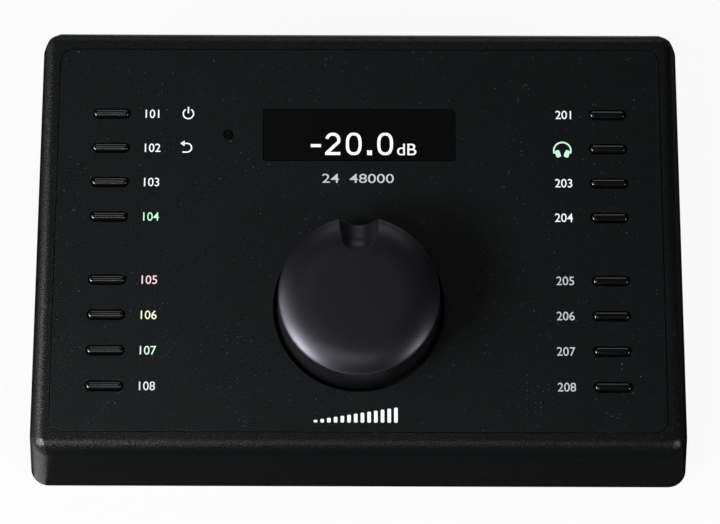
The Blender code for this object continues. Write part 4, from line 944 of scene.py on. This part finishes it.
# Three-pole audio connectors: die-cast zinc shells, nickel plated black, each held by two
# countersunk screws. The inputs have a moulded insert with sleeves, the output has pins.
FLANGE_SEAT = 0.0003
FLANGE_WIDTH = 0.0260
FLANGE_HEIGHT = 0.0310
FLANGE_THICKNESS = 0.0020
FLANGE_RADIUS = 0.0030
SHELL_WIDTH = 0.0234
SHELL_HEIGHT = 0.0284
SHELL_DEPTH = 0.0157
BORE_RADIUS = 0.0096
BORE_FLOOR = -0.0117
INSERT_RADIUS = 0.0076
INSERT_SINK = 0.0005
INSERT_GAP = 0.0001
CONTACT_RADIUS = 0.0013
CONTACT_CIRCLE = 0.0040
HOLE_FLOOR = -0.0100
SLEEVE_SINK = 0.0012
SLEEVE_FOOT = -0.0095
PIN_TOP = -0.0007
PIN_FOOT = BORE_FLOOR + 0.0012
LATCH_SLOT = (0.0076, 0.0034)
LATCH_SLOT_FLOOR = -0.0096
LATCH_CENTRE = 0.0123
FLANGE_SCREW_PLACES = ((-0.0095, 0.0120), (0.0095, -0.0120))
SCREW_HEAD_RADIUS = 0.0024
SCREW_GAP = 0.0002
COUNTERSINK_DEPTH = 0.0017
flange_face = FLANGE_SEAT + FLANGE_THICKNESS
black_nickel = fine_finish(
    "black_nickel_zinc", {"Metallic": 1.0, "Roughness": 0.32}, "#3A3B3E", "#46474A", 900, 0.000004)
satin_nickel = fine_finish(
    "satin_nickel_plate", {"Metallic": 1.0, "Roughness": 0.24}, "#B8B5AE", "#C9C6BF", 900)
gold_flash = fine_finish(
    "gold_flash_contact", {"Metallic": 1.0, "Roughness": 0.22}, "#C9A24E", "#DDB964", 1500)
nylon_black = fine_finish(
    "glass_filled_nylon_black", {"Roughness": 0.5, "IOR": 1.53, "Specular IOR Level": 0.5},
    "#0D0D0E", "#161617", 3500, 0.00001)
contact_places = [
    Vector((CONTACT_CIRCLE * math.cos(a), CONTACT_CIRCLE * math.sin(a), 0))
    for a in map(math.radians, (30, 150, 270))]


def screw_head(name, radius, matrix, material):
    """A flush countersunk head with a cross recess."""
    head = turned(
        name,
        [(0, 0), (radius * 0.92, 0), (radius, -radius * 0.08), (radius * 0.5, -radius * 0.6),
         (0, -radius * 0.6)], 40, matrix=matrix)
    arm = rounded_outline(radius * 1.1, radius * 0.26, radius * 0.06, steps=2)
    for turn in (0, math.pi / 2):
        outline = [Matrix.Rotation(turn, 2) @ point for point in arm]
        boolean(head, plate("recess", [outline], -radius * 0.35, radius * 0.2, matrix))
    return finish_surface(head, material)


for name in ("line_in_left", "line_in_right", "digital_in", "digital_out"):
    place = rear_place(name)
    shell = plate(
        f"{name}_shell", [rounded_outline(FLANGE_WIDTH, FLANGE_HEIGHT, FLANGE_RADIUS)],
        FLANGE_SEAT, flange_face, place)
    boolean(shell, plate(
        "body", [rounded_outline(SHELL_WIDTH, SHELL_HEIGHT, 0.0006, steps=2)],
        -SHELL_DEPTH, FLANGE_SEAT + OVERCUT, place), "UNION")
    boolean(shell, plate("bore", [circle(BORE_RADIUS)], BORE_FLOOR, flange_face + OVERCUT, place))
    for index, spot in enumerate(FLANGE_SCREW_PLACES):
        seat = place @ Matrix.Translation((*spot, flange_face - SCREW_GAP))
        rim = SCREW_HEAD_RADIUS + SCREW_GAP
        boolean(shell, turned(
            "countersink",
            [(0, OVERCUT), (rim, OVERCUT), (rim, -SCREW_GAP),
             (SCREW_HEAD_RADIUS * 0.55, -COUNTERSINK_DEPTH), (0, -COUNTERSINK_DEPTH)], 40, matrix=seat))
        screw_head(f"{name}_screw_{index + 1}", SCREW_HEAD_RADIUS, seat, satin_nickel)
    foot = BORE_FLOOR + INSERT_GAP
    if name == "digital_out":
        top, radius = BORE_FLOOR + 0.0015, BORE_RADIUS - INSERT_GAP
        insert = turned(
            f"{name}_insert", [(0, top), (radius, top), (radius, foot), (0, foot)], 72, matrix=place)
        for index, spot in enumerate(contact_places):
            pin = turned(
                f"{name}_pin_{index + 1}",
                [(0, PIN_TOP), (CONTACT_RADIUS * 0.5, PIN_TOP - 0.00015),
                 (CONTACT_RADIUS * 0.87, PIN_TOP - 0.0006), (CONTACT_RADIUS, PIN_TOP - 0.0013),
                 (CONTACT_RADIUS, PIN_FOOT), (0, PIN_FOOT)], 32, matrix=place @ Matrix.Translation(spot))
            finish_surface(pin, satin_nickel)
    else:
        boolean(shell, plate(
            "latch_slot", [rounded_outline(*LATCH_SLOT, 0.0003, (0, LATCH_CENTRE), 2)],
            LATCH_SLOT_FLOOR, flange_face + OVERCUT, place))
        top = flange_face - INSERT_SINK
        insert = turned(
            f"{name}_insert",
            [(0, top), (INSERT_RADIUS - 0.0004, top), (INSERT_RADIUS, top - 0.0004), (INSERT_RADIUS, foot),
             (0, foot)], 72, matrix=place)
        for spot in contact_places:
            boolean(insert, plate(
                "hole", [circle(CONTACT_RADIUS, spot.xy, 32)], HOLE_FLOOR, flange_face, place))
        outer, inner = CONTACT_RADIUS - 0.00005, CONTACT_RADIUS - 0.0004
        for index, spot in enumerate(contact_places):
            sleeve = turned(
                f"{name}_sleeve_{index + 1}",
                [(outer, top - SLEEVE_SINK), (inner, top - SLEEVE_SINK), (inner, SLEEVE_FOOT),
                 (outer, SLEEVE_FOOT)], 32, True, place @ Matrix.Translation(spot))
            finish_surface(sleeve, gold_flash)
    finish_surface(insert, nylon_black)
    finish_surface(soften(shell, 0.00025), black_nickel)
    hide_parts(name)


# Release tabs of the three inputs: stamped steel, nickel plated, with four grip ribs.
LATCH_SIZE = (0.0070, 0.0028)
LATCH_DEPTH = 0.0080
LATCH_RISE = 0.0018
RIB_GAP_SIZE = (0.0052, 0.0003)
RIB_GAP_DEPTH = 0.0002
for name, connector in (
        ("latch_left", "line_in_left"), ("latch_right", "line_in_right"), ("latch_digital", "digital_in")):
    place = rear_place(connector)
    face = flange_face + LATCH_RISE
    tab = plate(
        f"{name}_tab", [rounded_outline(*LATCH_SIZE, 0.0004, (0, LATCH_CENTRE), 3)],
        -LATCH_DEPTH, face, place)
    for shift in (-0.0008, 0.0, 0.0008):
        boolean(tab, plate(
            "rib_gap", [rounded_outline(*RIB_GAP_SIZE, 0.0001, (0, LATCH_CENTRE + shift), 2)],
            face - RIB_GAP_DEPTH, face + OVERCUT, place))
    finish_surface(soften(tab, 0.0002), satin_nickel, f"body_{name}")
    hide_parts(name)


# Headphone socket: nylon body with a threaded brass ferrule, nickel plated, and its nut.
JACK_SIDE = 0.0130
JACK_FRONT = -0.0023
JACK_REAR = -0.0323
JACK_BORE_RADIUS = 0.0033
JACK_BORE_FLOOR = -0.0250
FERRULE_RADIUS = 0.0046
FERRULE_RISE = 0.0030
FERRULE_FOOT = -0.0022
THREAD_PITCH = 0.0004
THREAD_DEPTH = 0.0002
place = rear_place("headphone_socket")
jack = plate(
    "headphone_body", [rounded_outline(JACK_SIDE, JACK_SIDE, 0.0008, steps=3)], JACK_REAR, JACK_FRONT, place)
boolean(jack, plate("jack_bore", [circle(JACK_BORE_RADIUS)], JACK_BORE_FLOOR, OVERCUT, place))
finish_surface(soften(jack, 0.0002), nylon_black)
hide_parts("headphone_socket")
root = FERRULE_RADIUS - THREAD_DEPTH
thread = [(JACK_BORE_RADIUS, FERRULE_RISE - 0.0004), (JACK_BORE_RADIUS + 0.0004, FERRULE_RISE)]
for step in range(11):
    z = FERRULE_RISE - THREAD_DEPTH - step * THREAD_PITCH
    thread += [(root, z), (FERRULE_RADIUS, z - THREAD_PITCH / 2)]
thread += [(root, FERRULE_FOOT), (JACK_BORE_RADIUS, FERRULE_FOOT)]
finish_surface(turned("headphone_ferrule", thread, 64, True, place), satin_nickel)


# Word clock socket: a bayonet barrel turned from brass and nickel plated, with a white
# PTFE insulator and a gold contact, and two lugs for the plug's bayonet.
BARREL_RADIUS = 0.0048
BARREL_BORE = 0.0040
BARREL_TOP = 0.0108
BARREL_FLOOR = 0.0028
BARREL_REAR = -0.0120
BARREL_CHAMFER = 0.0003
NECK_DEPTH = 0.0004
THREAD_RADIUS = 0.0060
THREAD_TOP = 0.0024
LUG_RADIUS = 0.0009
LUG_REACH = 0.0007
LUG_Z = 0.0083
place = rear_place("word_clock_socket")
barrel = turned("word_clock_barrel", [
    (BARREL_BORE, BARREL_TOP - BARREL_CHAMFER), (BARREL_BORE + BARREL_CHAMFER, BARREL_TOP),
    (BARREL_RADIUS - BARREL_CHAMFER, BARREL_TOP), (BARREL_RADIUS, BARREL_TOP - BARREL_CHAMFER),
    (BARREL_RADIUS, 0.0040), (BARREL_RADIUS - NECK_DEPTH, 0.0036), (BARREL_RADIUS - NECK_DEPTH, 0.0030),
    (BARREL_RADIUS, THREAD_TOP), (THREAD_RADIUS, THREAD_TOP), (THREAD_RADIUS, BARREL_REAR),
    (0, BARREL_REAR), (0, BARREL_FLOOR), (BARREL_BORE, BARREL_FLOOR)], 72, True, place)
for side in (-1, 1):
    aim = place @ Matrix.Translation((0, 0, LUG_Z)) @ Matrix.Rotation(side * math.pi / 2, 4, "Y")
    boolean(barrel, plate(
        "lug", [circle(LUG_RADIUS, steps=24)], BARREL_BORE + 0.0003, BARREL_RADIUS + LUG_REACH, aim), "UNION")
finish_surface(barrel, satin_nickel)
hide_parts("word_clock_socket")
ptfe_white = fine_finish(
    "ptfe_white", {"Roughness": 0.45, "IOR": 1.35, "Specular IOR Level": 0.4}, "#D9D9D4", "#E6E6E2", 1200)
foot = BARREL_FLOOR + INSERT_GAP
finish_surface(turned("word_clock_insulator", [
    (0.0008, 0.0066), (0.0026, 0.0066), (0.0029, 0.0063), (0.0029, foot), (0.0008, foot)],
    48, True, place), ptfe_white)
finish_surface(turned("word_clock_contact", [
    (0.0003, 0.0078), (0.0006, 0.0078), (0.0007, 0.0076), (0.0007, foot), (0.0003, foot)],
    32, True, place), gold_flash)
for name in ("headphone_nut", "word_clock_nut"):
    dress(name, satin_nickel)


# Network socket: a folded and tinned steel shield round a nylon block, with eight gold
# plated spring wires and two small lamps.
def grow(outline, by):
    """An outline of square corners, pushed outward."""
    return [Vector((x + math.copysign(by, x), y + math.copysign(by, y))) for x, y in outline]


def wire(name, size, centre, tilt, matrix):
    """A flat contact spring."""
    spot = Matrix.Translation(centre) @ Matrix.Rotation(tilt, 4, "X") @ Matrix.Diagonal((*size, 1))
    spring = new_object(name, lambda work: bmesh.ops.create_cube(work, size=1, matrix=spot), matrix)
    return finish_surface(spring, gold_flash)


BOX_RISE = 0.0008
NETWORK_SIZE = (0.0160, 0.0135)
NETWORK_REAR = -0.0210
BLOCK_SINK = 0.0003
BLOCK_FOOT = -0.0122
BACK_FRONT = -0.0123
BACK_REAR = -0.0205
WIRE_COUNT = 8
WIRE_PITCH = 0.00102
WIRE_SIZE = (0.00045, 0.00025, 0.0088)
WIRE_TILT = math.radians(12)
LAMP_SIZE = (0.0022, 0.0012)
place = rear_place("network_socket")
mouth = [(-0.0059, -0.0036), (0.0059, -0.0036), (0.0059, 0.0036), (0.0030, 0.0036), (0.0030, 0.0056),
         (-0.0030, 0.0056), (-0.0030, 0.0036), (-0.0059, 0.0036)]
tinned_steel = fine_finish(
    "tinned_steel", {"Metallic": 1.0, "Roughness": 0.34}, "#B4B6B8", "#C6C8CA", 500, 0.000006)
shield = plate(
    "network_shield", [rounded_outline(*NETWORK_SIZE, 0.0006, steps=3), grow(mouth, 0.0004)],
    NETWORK_REAR, BOX_RISE, place)
finish_surface(soften(shield, 0.00012), tinned_steel)
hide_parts("network_socket")
lining = grow(mouth, 0.00035)
finish_surface(plate("network_block", [lining, mouth], BLOCK_FOOT, BOX_RISE - BLOCK_SINK, place), nylon_black)
finish_surface(plate("network_back", [lining], BACK_REAR, BACK_FRONT, place), nylon_black)
for index in range(WIRE_COUNT):
    x = (index - (WIRE_COUNT - 1) / 2) * WIRE_PITCH
    wire(f"network_wire_{index + 1}", WIRE_SIZE, (x, -0.0020, -0.0062), WIRE_TILT, place)
lamp_plastic = fine_finish(
    "diffusing_polycarbonate", {"Roughness": 0.4, "IOR": 1.58, "Specular IOR Level": 0.5},
    "#9BA08A", "#AEB39C", 900)
for side in (-1, 1):
    finish_surface(plate(
        f"network_lamp_{(side + 3) // 2}", [rounded_outline(*LAMP_SIZE, 0.0002, (side * 0.0052, 0.0052), 2)],
        BOX_RISE - 0.0006, BOX_RISE, place), lamp_plastic)


# Computer socket: a drawn steel shell with a nylon tongue that carries four contacts.
USB_SIZE = (0.0122, 0.0112)
USB_REAR = -0.0160
USB_BACK_REAR = -0.0155
USB_BACK_FRONT = -0.0082
TONGUE_SIZE = (0.0056, 0.0031)
TONGUE_FOOT = -0.0083
TONGUE_FACE = 0.0001
USB_CONTACT = (0.0010, 0.00012, 0.0064)
place = rear_place("usb_socket")
mouth = [(0.0043, -0.0039), (0.0043, 0.0021), (0.0025, 0.0039), (-0.0025, 0.0039), (-0.0043, 0.0021),
         (-0.0043, -0.0039)]
shell = plate("usb_shell", [rounded_outline(*USB_SIZE, 0.0006, steps=3), mouth], USB_REAR, BOX_RISE, place)
finish_surface(soften(shell, 0.00015), tinned_steel)
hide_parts("usb_socket")
usb_back = [Vector(point) * 0.99 for point in mouth]
finish_surface(plate("usb_back", [usb_back], USB_BACK_REAR, USB_BACK_FRONT, place), nylon_black)
tongue = plate(
    "usb_tongue", [rounded_outline(*TONGUE_SIZE, 0.0003, steps=2)], TONGUE_FOOT, TONGUE_FACE, place)
finish_surface(soften(tongue, 0.0002), ptfe_white)
usb_contacts = [(x, y, -0.0042) for y in (0.00158, -0.00158) for x in (-0.00125, 0.00125)]
for index, centre in enumerate(usb_contacts):
    wire(f"usb_contact_{index + 1}", USB_CONTACT, centre, 0, place)


# Power inlet: a moulded nylon ring with a split centre pin of plated brass.
INLET_RADIUS = 0.0055
INLET_RISE = 0.0016
INLET_REAR = -0.0150
INLET_BORE = 0.0032
INLET_FLOOR = -0.0079
INLET_WAIST = 0.0006
INLET_PIN_RADIUS = 0.0010
place = rear_place("power_inlet")
inlet = turned("power_ring", [
    (INLET_BORE, INLET_RISE - 0.0005), (INLET_BORE + 0.0005, INLET_RISE), (INLET_RADIUS - 0.0004, INLET_RISE),
    (INLET_RADIUS, INLET_RISE - 0.0004), (INLET_RADIUS, -0.0020), (INLET_RADIUS - INLET_WAIST, -0.0026),
    (INLET_RADIUS - INLET_WAIST, INLET_REAR), (0, INLET_REAR), (0, INLET_FLOOR), (INLET_BORE, INLET_FLOOR)],
    64, True, place)
finish_surface(inlet, nylon_black)
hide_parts("power_inlet")
foot = INLET_FLOOR + INSERT_GAP
finish_surface(turned("power_pin", [
    (0, 0.0004), (0.0006, 0.0003), (INLET_PIN_RADIUS, -0.0003), (INLET_PIN_RADIUS, foot), (0, foot)],
    32, matrix=place), satin_nickel)


# Base plate, its screws and the feet: zinc-plated steel sheet with the case's coat,
# blackened screws, and soft moulded rubber.
dress("base_plate", powder_coat)
black_screw = fine_finish(
    "black_zinc_steel", {"Metallic": 1.0, "Roughness": 0.35}, "#333436", "#404144", 1500)
rubber = fine_finish(
    "moulded_rubber_black", {"Roughness": 0.85, "IOR": 1.52, "Specular IOR Level": 0.3},
    "#141415", "#1C1C1D", 2000, 0.00003)
for number in range(1, 5):
    dress(f"foot_{number}", rubber)
    dress(f"base_screw_{number}", black_screw)


# Encoder under the knob: zinc body, plated brass bushing, shaft, nut and washer, and a
# brass bush pressed into the knob. The shield can on the main board is tinned like them.
for piece in ("encoder_body", "encoder_washer", "encoder_nut", "encoder_shaft", "encoder_plunger"):
    dress(piece, tinned_steel)
dress("processor_shield", tinned_steel)
dress("knob_bush", fine_finish(
    "turned_brass", {"Metallic": 1.0, "Roughness": 0.28}, "#B08D4A", "#C3A05C", 1500))


# Circuit boards: glass-epoxy with green solder mask over copper tracks. The tracks show
# as slightly lighter lines. The display's module is moulded black.
TRACK_PITCH_MM = 1.6
board_green = mottled(
    "solder_mask_green", {"Roughness": 0.28, "IOR": 1.55, "Specular IOR Level": 0.5}, "#0F3524", "#1D5336",
    {"distance": "MANHATTAN", "feature": "F1", "Scale": 1000 / TRACK_PITCH_MM / 2, "Randomness": 0.6},
    relief=0.00003, kind="ShaderNodeTexVoronoi", output="Distance", spread=(0.40, 0.46))
for name in ("control_board", "main_board"):
    dress(name, board_green)
dress("display_module", nylon_black)


# Ribbon cable: grey PVC over parallel conductors, about a millimetre apart.
CONDUCTOR_PITCH_MM = 1.0
WAVES_PER_UNIT = 3.18  # bands of the wave texture per unit at scale 1
dress("ribbon_cable", mottled(
    "ribbon_pvc_grey", {"Roughness": 0.5, "IOR": 1.53, "Specular IOR Level": 0.4}, "#86868A", "#B4B4B8",
    {"bands_direction": "X", "Scale": 1000 / CONDUCTOR_PITCH_MM / WAVES_PER_UNIT},
    relief=0.0001, kind="ShaderNodeTexWave"))
